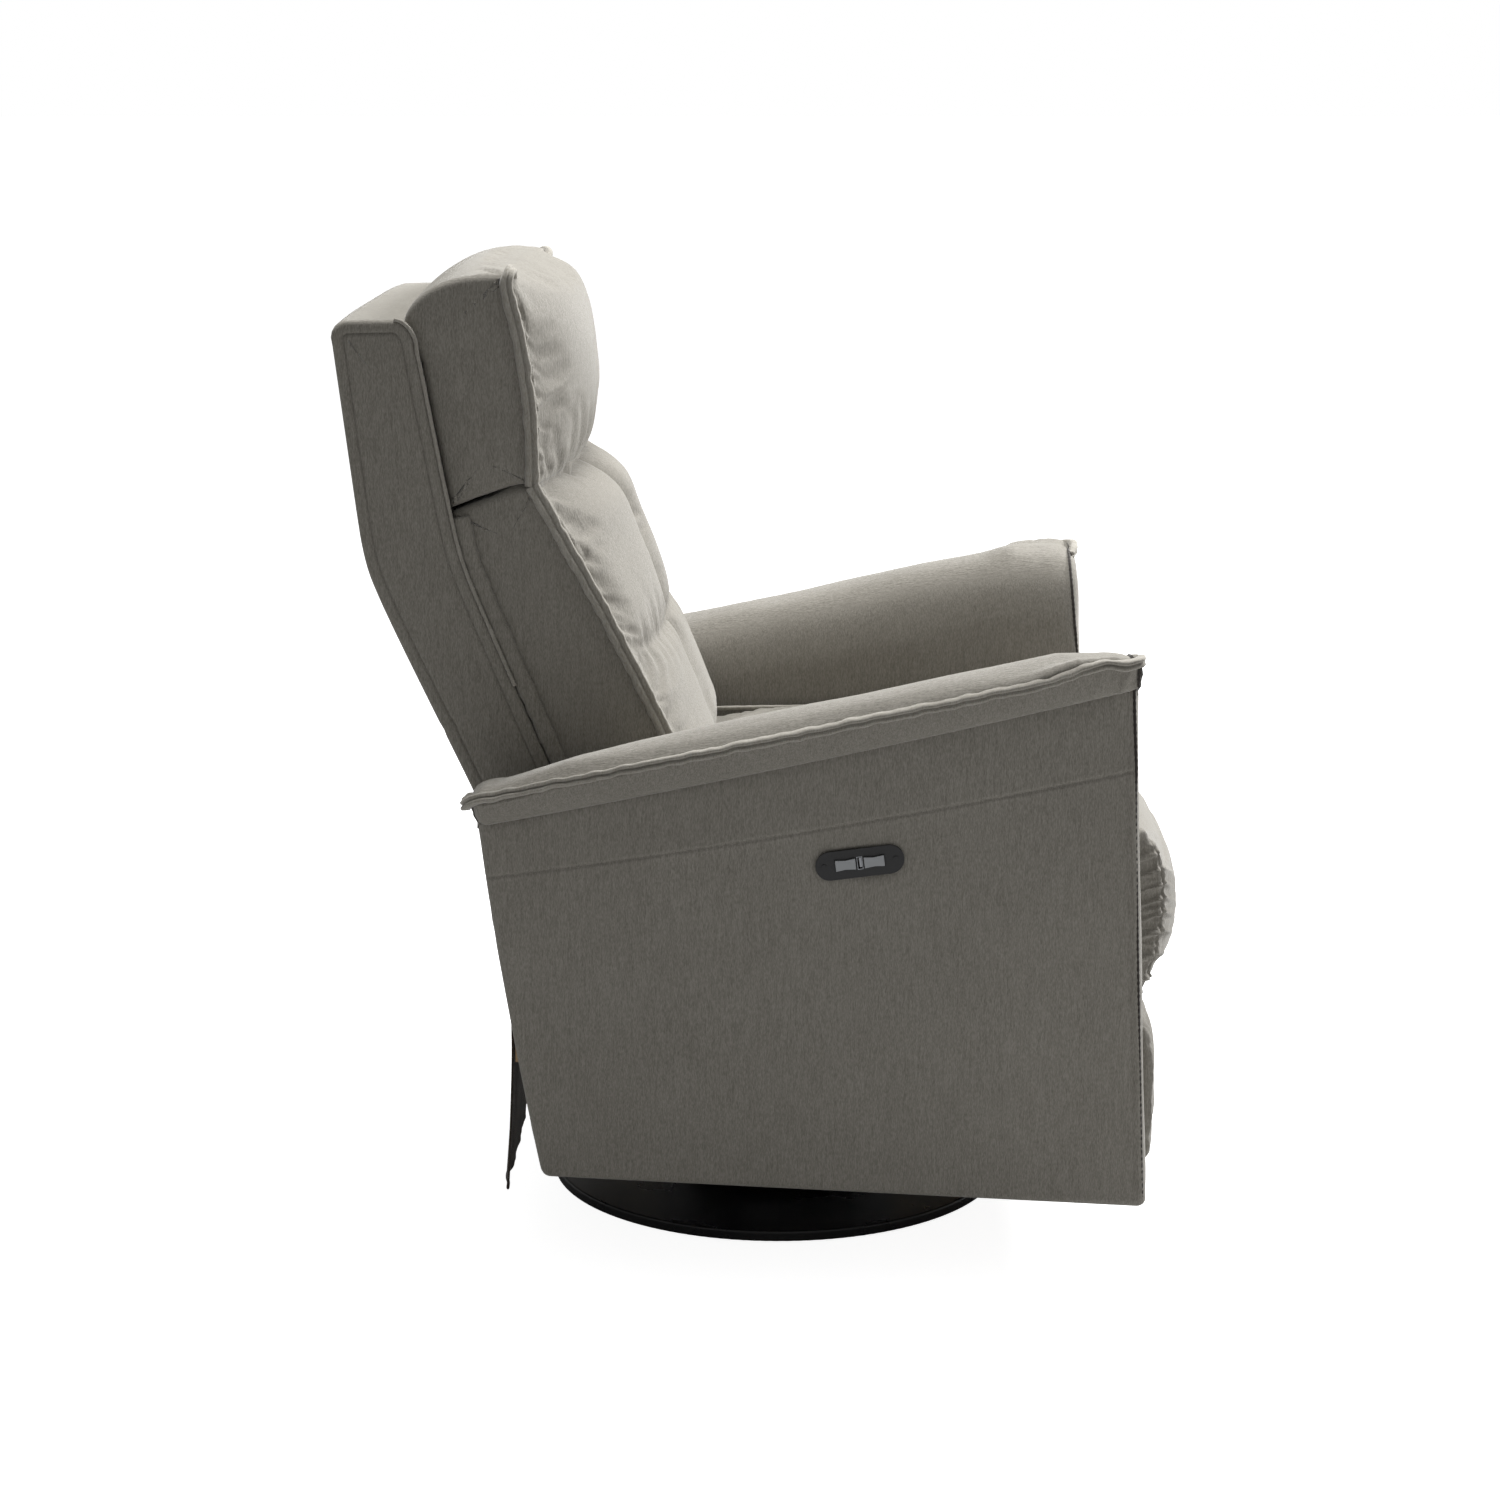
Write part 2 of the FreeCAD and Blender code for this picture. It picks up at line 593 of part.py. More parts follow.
def make_arm(side, label):
    inner, outer = "inner_half", "inner_half + arm_thick"
    steps = [("pad", arm_outline(), span(side, inner, outer)),
             ("pad", arm_roll_outline(), span(side, inner, f"{outer} + roll_out")),
             ("cut", arm_pocket_outline(),
              span(side, f"{inner} + cover_wall", f"{outer} - cover_wall"))]
    if side == RIGHT:
        window = [control_spot(f"{along} * 33.5", f"{up} * 12.5")
                  for along, up in ((-1, -1), (1, -1), (1, 1), (-1, 1))]
        steps.append(("cut", window, span(side, f"{outer} - cover_wall - 1", outer)))
    keep(slab(f"arm_cover_{label}", steps))

    pocket = arm_pocket_outline()
    board = [("arm_back - 20", "arm_low + arm_rise + 8"), ("-arm_front + 22", "arm_low + 12"),
             ("-arm_front + 40", "arm_top_front - 108"),
             (pocket[3][0], f"{pocket[3][1]} - 58"), ("arm_back + 24", "arm_top_rear - 96")]
    panel = span(side, f"{inner} + cover_wall + 0.5", f"{inner} + cover_wall + 0.5 + panel_thick")
    keep(slab(f"arm_frame_{label}", [("pad", board, panel)]))
    foam = [(board[4][0], f"{board[4][1]} + 1"), (board[3][0], f"{board[3][1]} + 1"),
            (board[2][0], f"{board[2][1]} + 1"), ("-arm_front + 41", "arm_top_front - 49"),
            (pocket[3][0], f"{pocket[3][1]} - 3"), ("arm_back + 28", "arm_top_rear - 39")]
    inside = span(side, f"{inner} + cover_wall + 0.5", f"{outer} - cover_wall - 0.5")
    keep(slab(f"arm_pad_{label}", [("pad", foam, inside)]))


# ---------------------------------------------------------------- controls on the right arm

CONTROL_X = "inner_half + arm_thick"


def tilt_control(thing):
    """Place something drawn about the control plate's own middle."""
    thing.Placement = FreeCAD.Placement(V(0, 0, 0), FreeCAD.Rotation(V(1, 0, 0), 1))
    bind(thing, Placement__Base__y="control_y", Placement__Base__z="control_z",
         Placement__Rotation__Angle="control_tilt")
    return keep(thing)


def bow_tie(middle, spare):
    """A rocker button's outline, wide at its ends and narrow at its waist."""
    half_long, half_tall = f"(button_long / 2 + {spare})", f"(button_tall / 2 + {spare})"
    waist = f"(button_tall / 2 - 1 + {spare})"
    return [(f"{middle} - {half_long}", f"-{half_tall}"), (f"{middle} - 0.1", f"-{waist}"),
            (f"{middle} + 0.1", f"-{waist}"), (f"{middle} + {half_long}", f"-{half_tall}"),
            (f"{middle} + {half_long}", half_tall), (f"{middle} + 0.1", waist),
            (f"{middle} - 0.1", waist), (f"{middle} - {half_long}", half_tall)]


def rectangle(half_along, half_up):
    return [(f"-({half_along})", f"-({half_up})"), (half_along, f"-({half_up})"),
            (half_along, half_up), (f"-({half_along})", half_up)]


def make_controls():
    face = span(RIGHT, CONTROL_X, f"{CONTROL_X} + control_thick")
    end = "(control_long - control_tall) / 2"
    steps = [("pad", rectangle(end, "control_tall / 2"), face)]
    steps += [("pad", (f"{sign} * {end}", "0.001", "control_tall / 2"), face) for sign in (-1, 1)]
    steps += [("cut", bow_tie(f"{sign} * button_pitch", "button_gap"), face) for sign in (-1, 1)]
    steps += [("cut", rectangle("2.9", "6.6"), face)]
    tilt_control(slab("control_plate", steps))

    port = span(RIGHT, f"{CONTROL_X} - 12", f"{CONTROL_X} + control_thick + 0.4")
    mouth = span(RIGHT, f"{CONTROL_X} - 9", f"{CONTROL_X} + control_thick + 0.4")
    tilt_control(slab("usb_port", [("pad", rectangle("2.8", "6.5"), port),
                                   ("cut", rectangle("2.25", "5.9"), mouth),
                                   ("pad", [("-1.9", "-4.8"), ("0.4", "-4.8"), ("0.4", "4.8"),
                                            ("-1.9", "4.8")],
                                    span(RIGHT, f"{CONTROL_X} - 9.5", f"{CONTROL_X} + 1"))]))

    heads = []
    for number, sign in enumerate((-1, 1), start=1):
        head = slab(f"control_screw_{number}", [("pad", (f"{sign} * 35.8", "0.001", "2.6"), span(
            RIGHT, f"{CONTROL_X} + control_thick", f"{CONTROL_X} + control_thick + 1"))])
        heads.append(head)
    tilt_control(group("control_screws", heads))

    box = span(RIGHT, f"{CONTROL_X} - 30", f"{CONTROL_X} - 0.3")
    hollow = span(RIGHT, f"{CONTROL_X} - 28", f"{CONTROL_X} + 0.7")
    tilt_control(slab("switch_box", [("pad", rectangle("32", "11.5"), box),
                                     ("cut", rectangle("30", "9.5"), hollow)]))

    for sign, name in ((-1, "recline_button"), (1, "headrest_button")):
        middle = f"{sign} * button_pitch"
        stem = span(RIGHT, f"{CONTROL_X} - 3", f"{CONTROL_X} + control_thick")
        cap = span(RIGHT, f"{CONTROL_X} + 0.5", f"{CONTROL_X} + control_thick + 2.6")
        shaft = [(f"{middle} - 3", "-3"), (f"{middle} + 3", "-3"), (f"{middle} + 3", "3"),
                 (f"{middle} - 3", "3")]
        tilt_control(slab(name, [("pad", bow_tie(middle, "0"), cap), ("pad", shaft, stem)]))


# ---------------------------------------------------------------- back: frame, shell, cushion

def stile_front(share):
    """Depth of a stile's front edge at a share of the back's height."""
    lumbar = 0.411
    return 88 + (share - lumbar) * 256.2 if share > lumbar else 88 - (lumbar - share) * 273.2


BOTTOM_RAIL, MIDDLE_RAIL = 0.06, 0.7
BAND_COUNT = 6


def make_back():
    half = "inner_half - back_gap"
    shell_outline = [back_spot(*spot) for spot in SHELL_FRONT]
    shell_outline += [back_spot(*spot) for spot in reversed(SHELL_REAR)]
    hollow = [back_spot(-30, 0.0), back_spot(-27, 0.034), back_spot(71, 0.411),
              back_spot(140, 0.692), back_spot(162, 0.886), back_spot(184, 0.985),
              back_spot(226, 0.985), back_spot(233, 0.965), back_spot(220, 0.777),
              back_spot(192, 0.565), back_spot(135, 0.376), back_spot(37, 0.034), back_spot(30, 0.0)]
    inner = f"{half} - shell_wall"
    slots = [("cut", [back_spot(*spot) for spot in ((118, 0.655), (172, 0.655), (172, 0.745), (118, 0.745))],
              span(side, "head_hinge_half - 1", "head_hinge_half + 11")) for side in (LEFT, RIGHT)]
    keep(slab("back_shell", [("pad", shell_outline, (f"-({half})", half)),
                             ("cut", hollow, (f"-({inner})", inner)), *slots]))

    stile = [back_spot(-12, 0.045), back_spot(88, 0.411), back_spot(160, 0.692),
             back_spot(184, 0.94), back_spot(216, 0.94), back_spot(200, 0.692),
             back_spot(128, 0.411), back_spot(24, 0.045)]
    bracket = [("recline_y - 14", "recline_z"), ("recline_y + 14", "recline_z"),
               back_spot(30, 0.06), back_spot(114, 0.36), back_spot(82, 0.36), back_spot(-8, 0.06)]

    def one_stile(side, name):
        return slab(name, [("pad", stile, span(side, f"{inner} - 29", f"{inner} - 5"))])

    def one_bracket(side, name):
        return slab(name, [("pad", bracket, layer(side, 1)),
                           ("pad", ("recline_y", "recline_z", "14"), layer(side, 1)),
                           ("cut", ("recline_y", "recline_z", "pin_radius + fit_gap"), layer(side, 1))])

    both_sides("back_stiles", one_stile)
    both_sides("back_brackets", one_bracket)

    between = (f"-({inner} - 29)", f"{inner} - 29")
    rails = []
    for level, depth, share in (("bottom", -2, BOTTOM_RAIL), ("middle", 170, MIDDLE_RAIL), ("top", 186, 0.9)):
        y, z = back_spot(depth, share)
        rails.append(bar(f"back_rail_{level}", between, (y, f"{y} + 20"), (z, f"{z} + rail_wide")))
    keep(group("back_rails", rails))

    bands = []
    first = BOTTOM_RAIL + value("rail_wide + band_gap") / value("back_tall")
    last = MIDDLE_RAIL - 0.1
    for number in range(BAND_COUNT):
        share = first + (last - first) * number / (BAND_COUNT - 1)
        low, high = stile_front(share), stile_front(share + 0.05)
        strip = [back_spot(low - 2.2, share), back_spot(low - 0.2, share),
                 back_spot(high - 0.2, share + 0.05), back_spot(high - 2.2, share + 0.05)]
        bands.append(slab(f"back_band_{number + 1}", [("pad", strip, (f"-({inner} - 8)", f"{inner} - 8"))]))
    keep(group("back_webbing", bands))

    cushion = [("recline_y - 130", "seat_top + 8"), ("recline_y - 104", "recline_z + back_tall * 0.42"),
               ("recline_y - 54", "recline_z + back_tall * 0.588"),
               ("recline_y - 2", "recline_z + back_tall * 0.735"),
               ("recline_y + 123", "recline_z + back_tall * 0.682"),
               ("recline_y + 54", "recline_z + back_tall * 0.411"),
               ("recline_y + 9", "seat_top + 8")]
    wide = ("-(inner_half - 20)", "inner_half - 20")
    keep(slab("back_cushion", [("pad", cushion, wide)] + head_arm_slots()))


# ---------------------------------------------------------------- headrest and its hinge

HEAD_PIVOT = ("recline_y + 24", "recline_z + back_tall * head_split + 3")


def head_spot(along, up):
    """A place measured from the headrest's pivot."""
    return (f"{HEAD_PIVOT[0]} + {along}", f"{HEAD_PIVOT[1]} + {up}")


def head_arm_limits(side, spare=0):
    return span(side, f"head_hinge_half + 2 - {spare}", f"head_hinge_half + 7 + {spare}")


def head_lug_limits(side, spare=0):
    return span(side, f"head_hinge_half - 5 - {spare}", f"head_hinge_half + {spare}")


ARM_BAR = [(-8, -6), (0, -9), (46, -28), (120, -53), (146, -53),
           (146, -20), (120, -25), (46, -8), (8, 8), (-4, 8)]
ARM_SLOT = [(-12, -12), (46, -34), (152, -68), (152, 4), (46, 4), (16, 16), (-12, 14)]


def head_arm_slots():
    """Slots that let the headrest's hinge arms lie in the padding."""
    slot = [head_spot(*spot) for spot in ARM_SLOT]
    cuts = []
    for side in (LEFT, RIGHT):
        low, high = head_arm_limits(side, 1)
        lug_low, lug_high = head_lug_limits(side, 1)
        limits = (lug_low, high) if side == LEFT else (low, lug_high)
        cuts.append(("cut", slot, limits))
    return cuts


def make_headrest():
    bars, pins = [], []
    for side, label in SIDES:
        steps = [("pad", [head_spot(*spot) for spot in ARM_BAR], head_arm_limits(side)),
                 ("cut", (*HEAD_PIVOT, "pin_radius - 1"), head_arm_limits(side))]
        bars.append(slab(f"headrest_arm_{label}", steps))
        low, high = head_lug_limits(side)[0], head_arm_limits(side)[1]
        if side == RIGHT:
            low, high = head_arm_limits(side)[0], head_lug_limits(side)[1]
        pins.append(cylinder(f"headrest_pin_{label}", "pin_radius - 1", HEAD_PIVOT, "x", low, high))
    keep(group("headrest_arms", bars))
    keep(group("headrest_pins", pins))

    lug = [(-8, -5), (0, -8), (8, -4), (42, 10), (86, 14), (86, 44), (42, 30), (0, 8), (-8, 4)]

    def one_lug(side, name):
        return slab(name, [("pad", [head_spot(*spot) for spot in lug], head_lug_limits(side)),
                           ("cut", (*HEAD_PIVOT, "pin_radius - 1 + fit_gap"), head_lug_limits(side))])

    both_sides("headrest_lugs", one_lug)
    board = [(86, 14), (94, 14), (116, 120), (108, 120)]
    keep(slab("headrest_board", [("pad", [head_spot(*spot) for spot in board],
                                  ("-inner_half + 60", "inner_half - 60"))]))

    top = "recline_z + back_tall + head_over"
    pad = [head_spot(-24, 9), ("recline_y - 3", mix(HEAD_PIVOT[1], top, 0.24)),
           ("recline_y + 2", mix(HEAD_PIVOT[1], top, 0.48)),
           ("recline_y + 18", mix(HEAD_PIVOT[1], top, 0.78)),
           ("recline_y + 42", f"{top} - 14"), ("recline_y + 70", top),
           ("recline_y + 118", f"{top} - 14"), ("recline_y + 146", f"{top} - 40"),
           ("recline_y + 150", mix(HEAD_PIVOT[1], top, 0.58)),
           ("recline_y + 141", mix(HEAD_PIVOT[1], top, 0.3)), head_spot(94, -24), head_spot(-8, 6)]
    wide = ("-(inner_half - 22)", "inner_half - 22")
    board_room = [(85, 13), (95, 13), (117, 121), (107, 121)]
    steps = [("pad", pad, wide)] + head_arm_slots()
    lug_room = [(-12, -8), (8, -8), (42, 8), (88, 12), (88, 46), (42, 34), (8, 14), (-12, 12)]
    for side in (LEFT, RIGHT):
        steps.append(("cut", [head_spot(*spot) for spot in lug_room], head_lug_limits(side, 1)))
    steps.append(("cut", [head_spot(*spot) for spot in board_room],
                  ("-inner_half + 59", "inner_half - 59")))
    keep(slab("headrest_pad", steps))

    y, rail_low = back_spot(168, MIDDLE_RAIL)
    keep(bar("headrest_motor", ("-30", "30"), (f"{y} - 8", f"{y} + 18"),
             (f"{rail_low} - 60 - motor_gap", f"{rail_low} - motor_gap")))


# ---------------------------------------------------------------- drive under the seat

def make_drive():
    rail_top = f"{MEMBER_TOP_Z} + 18"
    keep(bar("actuator_rail", ("-12", "12"), ("-link_pin_y + 75", "member_half + member_size / 2"),
             (MEMBER_TOP_Z, rail_top)))
    keep(bar("actuator_motor", ("-36", "36"),
             ("member_half + member_size / 2", "member_half + member_size / 2 + 75"),
             (f"{MEMBER_TOP_Z} - 12", f"{rail_top} + 22")))
    keep(bar("actuator_carriage", ("-19", "19"), ("-stroke_start", "-stroke_start + 32"),
             (f"{rail_top} + 0.3", f"{rail_top} + 20")))
    keep(bar("power_supply", ("inner_half - 178", "inner_half - 78"),
             ("member_half - 40", "member_half + 60"), (MEMBER_TOP_Z, f"{MEMBER_TOP_Z} + 42")))
    inlet_top = "rail_low + rail_tall - 80"
    inlet = bar("power_inlet_block", ("inner_half - 146", "inner_half - 110"),
                ("arm_back + 16", "arm_back + 32"), (f"{inlet_top} - 26", inlet_top))
    mouth = cylinder("power_inlet_mouth", "5", ("inner_half - 128", "arm_back + 24"), "z",
                     f"{inlet_top} - 27", f"{inlet_top} - 16")
    keep(cut("power_inlet", inlet, mouth))


# ---------------------------------------------------------------- build, check and write

make_base()
make_turntable()
make_seat_frame()
make_mechanism()
make_seat_cushion()
for arm_side, arm_label in SIDES:
    make_arm(arm_side, arm_label)
make_controls()
make_back()
make_headrest()
make_footrest()
make_drive()

doc.recompute()
for thing in doc.Objects:
    if {"Invalid", "Error"} & set(thing.State):
        raise RuntimeError(f"{thing.Label}: {thing.State}")
for node in nodes:
    if node.Shape.isNull() or not node.Shape.isValid():
        raise RuntimeError(f"{node.Label}: shape is not valid")

os.makedirs("parts", exist_ok=True)
for node in nodes:
    node.Shape.exportStep(f"parts/{node.Label}.step")
    print(f"{node.Label}: {len(node.Shape.Solids)} solid, {node.Shape.Volume / 1000:.0f} cm3")
print(len(nodes), "sub-parts")
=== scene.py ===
import bmesh
import bpy
import json
import math
import numpy as np
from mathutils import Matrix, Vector


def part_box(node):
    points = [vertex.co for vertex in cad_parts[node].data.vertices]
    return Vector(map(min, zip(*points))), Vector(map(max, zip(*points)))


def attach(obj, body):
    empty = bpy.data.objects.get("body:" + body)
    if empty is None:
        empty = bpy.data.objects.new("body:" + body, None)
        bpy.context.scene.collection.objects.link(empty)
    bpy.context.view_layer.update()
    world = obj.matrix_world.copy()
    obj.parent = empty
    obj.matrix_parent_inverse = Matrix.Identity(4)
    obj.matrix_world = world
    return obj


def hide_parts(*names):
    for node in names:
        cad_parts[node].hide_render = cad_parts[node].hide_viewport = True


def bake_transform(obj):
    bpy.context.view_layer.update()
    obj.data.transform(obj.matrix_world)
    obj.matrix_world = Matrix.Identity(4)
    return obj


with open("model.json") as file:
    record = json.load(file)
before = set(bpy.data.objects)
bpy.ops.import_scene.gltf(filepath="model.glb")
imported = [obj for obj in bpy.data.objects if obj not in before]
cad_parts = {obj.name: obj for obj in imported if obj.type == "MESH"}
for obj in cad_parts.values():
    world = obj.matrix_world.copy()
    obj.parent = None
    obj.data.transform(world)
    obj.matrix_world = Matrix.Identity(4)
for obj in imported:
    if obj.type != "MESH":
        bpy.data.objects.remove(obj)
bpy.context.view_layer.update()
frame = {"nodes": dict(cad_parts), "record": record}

MM = 0.001
LEFT, RIGHT = 1, -1
SIDES = ((LEFT, "left"), (RIGHT, "right"))


# ---------------------------------------------------------------- camera, light and floor

def aim(thing, spot):
    """Turn a camera or light so that it looks at a spot."""
    thing.rotation_euler = (Vector(spot) - thing.location).to_track_quat("-Z", "Y").to_euler()


def make_camera():
    lens = bpy.data.cameras.new("camera")
    lens.lens, lens.sensor_width = 76.8, 36.0
    camera = bpy.data.objects.new("camera", lens)
    bpy.context.scene.collection.objects.link(camera)
    camera.location = (-3.44, 0.0, 1.23)
    aim(camera, (0.0, 0.03, 0.48))
    bpy.context.scene.camera = camera


def soft_light(name, spot, target, size, power, colour=(1, 1, 1)):
    lamp = bpy.data.lights.new(name, "AREA")
    lamp.shape, lamp.size, lamp.energy, lamp.color = "DISK", size, power, colour
    thing = bpy.data.objects.new(name, lamp)
    bpy.context.scene.collection.objects.link(thing)
    thing.location = spot
    aim(thing, target)


def make_floor():
    half, low = 60.0, -0.0004
    mesh = bpy.data.meshes.new("floor")
    mesh.from_pydata([(-half, -half, low), (half, -half, low), (half, half, low), (-half, half, low)],
                     [], [(0, 1, 2, 3)])
    floor = bpy.data.objects.new("floor", mesh)
    bpy.context.scene.collection.objects.link(floor)
    paper = bpy.data.materials.new("pale_paper")
    paper.use_nodes = True
    shader = paper.node_tree.nodes["Principled BSDF"]
    shader.inputs["Base Color"].default_value = (0.6, 0.6, 0.6, 1)
    shader.inputs["Roughness"].default_value = 0.9
    shader.inputs["Specular IOR Level"].default_value = 0.1
    shader.inputs["Emission Color"].default_value = (1, 1, 1, 1)
    glow = paper.node_tree.nodes.new("ShaderNodeMath")
    glow.operation = "MULTIPLY"
    glow.inputs[1].default_value = 0.92
    seen = paper.node_tree.nodes.new("ShaderNodeLightPath").outputs["Is Camera Ray"]
    paper.node_tree.links.new(seen, glow.inputs[0])
    paper.node_tree.links.new(glow.outputs[0], shader.inputs["Emission Strength"])
    mesh.materials.append(paper)


def make_studio():
    """A white backdrop that lights the chair only a little, and soft lamps in front and above."""
    backdrop, ambient = 1.0, 0.27
    world = bpy.data.worlds.new("studio")
    bpy.context.scene.world = world
    world.use_nodes = True
    tree = world.node_tree
    seen = tree.nodes.new("ShaderNodeLightPath").outputs["Is Camera Ray"]
    strength = tree.nodes.new("ShaderNodeMapRange")
    strength.inputs["To Min"].default_value = ambient
    strength.inputs["To Max"].default_value = backdrop
    tree.links.new(seen, strength.inputs["Value"])
    sky = tree.nodes["Background"]
    sky.inputs["Color"].default_value = (1.0, 1.0, 1.0, 1)
    tree.links.new(strength.outputs["Result"], sky.inputs["Strength"])
    bpy.context.scene.view_settings.view_transform = "Standard"
    soft_light("key", (2.3, -3.2, 2.7), (0, 0, 0.6), 1.4, 290)
    soft_light("top", (0.5, 0.1, 3.6), (0, 0, 0.6), 1.5, 135)


# ---------------------------------------------------------------- shader groups

class Wires:
    """Short ways to add and join nodes of one tree."""

    def __init__(self, tree):
        self.tree, self.nodes, self.links = tree, tree.nodes, tree.links

    def add(self, kind, values=(), **settings):
        node = self.nodes.new(kind)
        for name, value in settings.items():
            setattr(node, name, value)
        for socket, value in dict(values).items():
            if hasattr(value, "is_output"):
                self.links.new(value, node.inputs[socket])
            else:
                node.inputs[socket].default_value = value
        return node

    def maths(self, kind, first, second=0.0, third=0.0):
        return self.add("ShaderNodeMath", {0: first, 1: second, 2: third}, operation=kind).outputs[0]

    def ramp(self, value, low, high, start=0.0, end=1.0):
        return self.add("ShaderNodeMapRange", {"Value": value, "From Min": low, "From Max": high,
                                               "To Min": start, "To Max": end}).outputs["Result"]

    def mix(self, share, first, second, kind="MIX"):
        node = self.nodes.new("ShaderNodeMix")
        node.data_type, node.blend_type = "RGBA", kind
        node.clamp_factor = True
        for socket, value in ((0, share), (6, first), (7, second)):
            if hasattr(value, "is_output"):
                self.links.new(value, node.inputs[socket])
            else:
                node.inputs[socket].default_value = value
        return node.outputs[2]


def new_group(name, inputs, outputs):
    tree = bpy.data.node_groups.new(name, "ShaderNodeTree")
    for label, kind, value in inputs:
        socket = tree.interface.new_socket(label, in_out="INPUT", socket_type="NodeSocket" + kind)
        if value is not None:
            socket.default_value = value
    for label, kind in outputs:
        tree.interface.new_socket(label, in_out="OUTPUT", socket_type="NodeSocket" + kind)
    wires = Wires(tree)
    return tree, wires, wires.add("NodeGroupInput").outputs, wires.add("NodeGroupOutput")


def make_weave_group():
    """Heathered cloth: long fibres along the grain, slubs, a fine weave and soft mottling."""
    tree, w, given, out = new_group("heathered_weave", [
        ("Light", "Color", (0.5, 0.5, 0.5, 1)), ("Dark", "Color", (0.2, 0.2, 0.2, 1)),
        ("Contrast", "Float", 1.0), ("Grain", "Float", 1.0), ("Mottle", "Float", 0.15)],
        [("Color", "Color"), ("Height", "Float")])
    place = w.add("ShaderNodeTexCoord").outputs["Object"]
    normal = w.add("ShaderNodeNewGeometry").outputs["Normal"]
    up = w.maths("ABSOLUTE", w.add("ShaderNodeSeparateXYZ", {0: normal}).outputs["Z"])
    flat = w.ramp(up, 0.45, 0.75)

    def fibres(scale, across, along, detail):
        upright = w.add("ShaderNodeVectorMath", {0: place, 1: (across, across, along)}, operation="MULTIPLY")
        lying = w.add("ShaderNodeVectorMath", {0: place, 1: (across, along, across)}, operation="MULTIPLY")
        values = [w.add("ShaderNodeTexNoise", {"Vector": v.outputs[0], "Scale": scale, "Detail": detail,
                                               "Roughness": 0.6}).outputs["Fac"] for v in (upright, lying)]
        chosen = w.add("ShaderNodeMix", {0: flat, 2: values[0], 3: values[1]})
        return chosen.outputs[0]

    fine = fibres(1100.0, 1.0, 0.22, 2.0)
    slub = fibres(430.0, 1.0, 0.1, 3.0)
    blotch = w.add("ShaderNodeTexNoise", {"Vector": place, "Scale": 14.0, "Detail": 4.0}).outputs["Fac"]
    fine_mask = w.ramp(fine, 0.36, 0.64)
    slub_mask = w.ramp(slub, 0.4, 0.66)
    grain = w.maths("MULTIPLY", w.maths("MULTIPLY_ADD", slub_mask, 0.3, w.maths("MULTIPLY", fine_mask, 0.7)),
                    given["Contrast"])
    mottle = w.maths("MULTIPLY", w.maths("SUBTRACT", blotch, 0.5), given["Mottle"])
    share = w.maths("ADD", grain, mottle)
    w.links.new(w.mix(share, given["Light"], given["Dark"]), out.inputs["Color"])
    height = w.maths("MULTIPLY", w.maths("MULTIPLY_ADD", slub_mask, 0.5, fine), given["Grain"])
    w.links.new(height, out.inputs["Height"])
    return tree


def make_wear_group():
    """Fine unevenness of a moulded or painted skin, with dust settled mostly on faces that look up."""
    tree, w, given, out = new_group("skin_and_dust", [
        ("Color", "Color", (0.1, 0.1, 0.1, 1)), ("Dust", "Color", (0.3, 0.28, 0.25, 1)),
        ("Amount", "Float", 0.08), ("Scale", "Float", 900.0), ("Roughness", "Float", 0.4)],
        [("Color", "Color"), ("Roughness", "Float"), ("Height", "Float")])
    place = w.add("ShaderNodeTexCoord").outputs["Object"]
    normal = w.add("ShaderNodeNewGeometry").outputs["Normal"]
    up = w.ramp(w.add("ShaderNodeSeparateXYZ", {0: normal}).outputs["Z"], 0.2, 1.0, 0.35, 1.0)
    cloud = w.add("ShaderNodeTexNoise", {"Vector": place, "Scale": 11.0, "Detail": 6.0}).outputs["Fac"]
    pits = w.add("ShaderNodeTexNoise",
                 {"Vector": place, "Scale": given["Scale"], "Detail": 1.0}).outputs["Fac"]
    dust = w.maths("MULTIPLY", w.maths("MULTIPLY", w.ramp(cloud, 0.42, 0.75), up), given["Amount"])
    w.links.new(w.mix(dust, given["Color"], given["Dust"]), out.inputs["Color"])
    rough = w.maths("ADD", given["Roughness"], w.maths("MULTIPLY", w.maths("SUBTRACT", cloud, 0.5), 0.25))
    w.links.new(rough, out.inputs["Roughness"])
    w.links.new(pits, out.inputs["Height"])
    return tree


def new_material(name):
    made = bpy.data.materials.new(name)
    made.use_nodes = True
    wires = Wires(made.node_tree)
    return made, wires, wires.nodes["Principled BSDF"]


def cloth_material(name, light, dark, contrast=1.0, grain=1.0, mottle=0.25, roughness=0.92, sheen=0.25):
    made, w, shader = new_material(name)
    weave = w.add("ShaderNodeGroup", node_tree=WEAVE)
    for label, value in (("Light", (*light, 1)), ("Dark", (*dark, 1)), ("Contrast", contrast),
                         ("Grain", grain), ("Mottle", mottle)):
        weave.inputs[label].default_value = value
    w.links.new(weave.outputs["Color"], shader.inputs["Base Color"])
    bump = w.add("ShaderNodeBump", {"Height": weave.outputs["Height"], "Strength": 0.55, "Distance": 0.0006})
    w.links.new(bump.outputs["Normal"], shader.inputs["Normal"])
    shader.inputs["Roughness"].default_value = roughness
    shader.inputs["Specular IOR Level"].default_value = 0.2
    shader.inputs["Sheen Weight"].default_value = sheen
    shader.inputs["Sheen Roughness"].default_value = 0.45
    return made


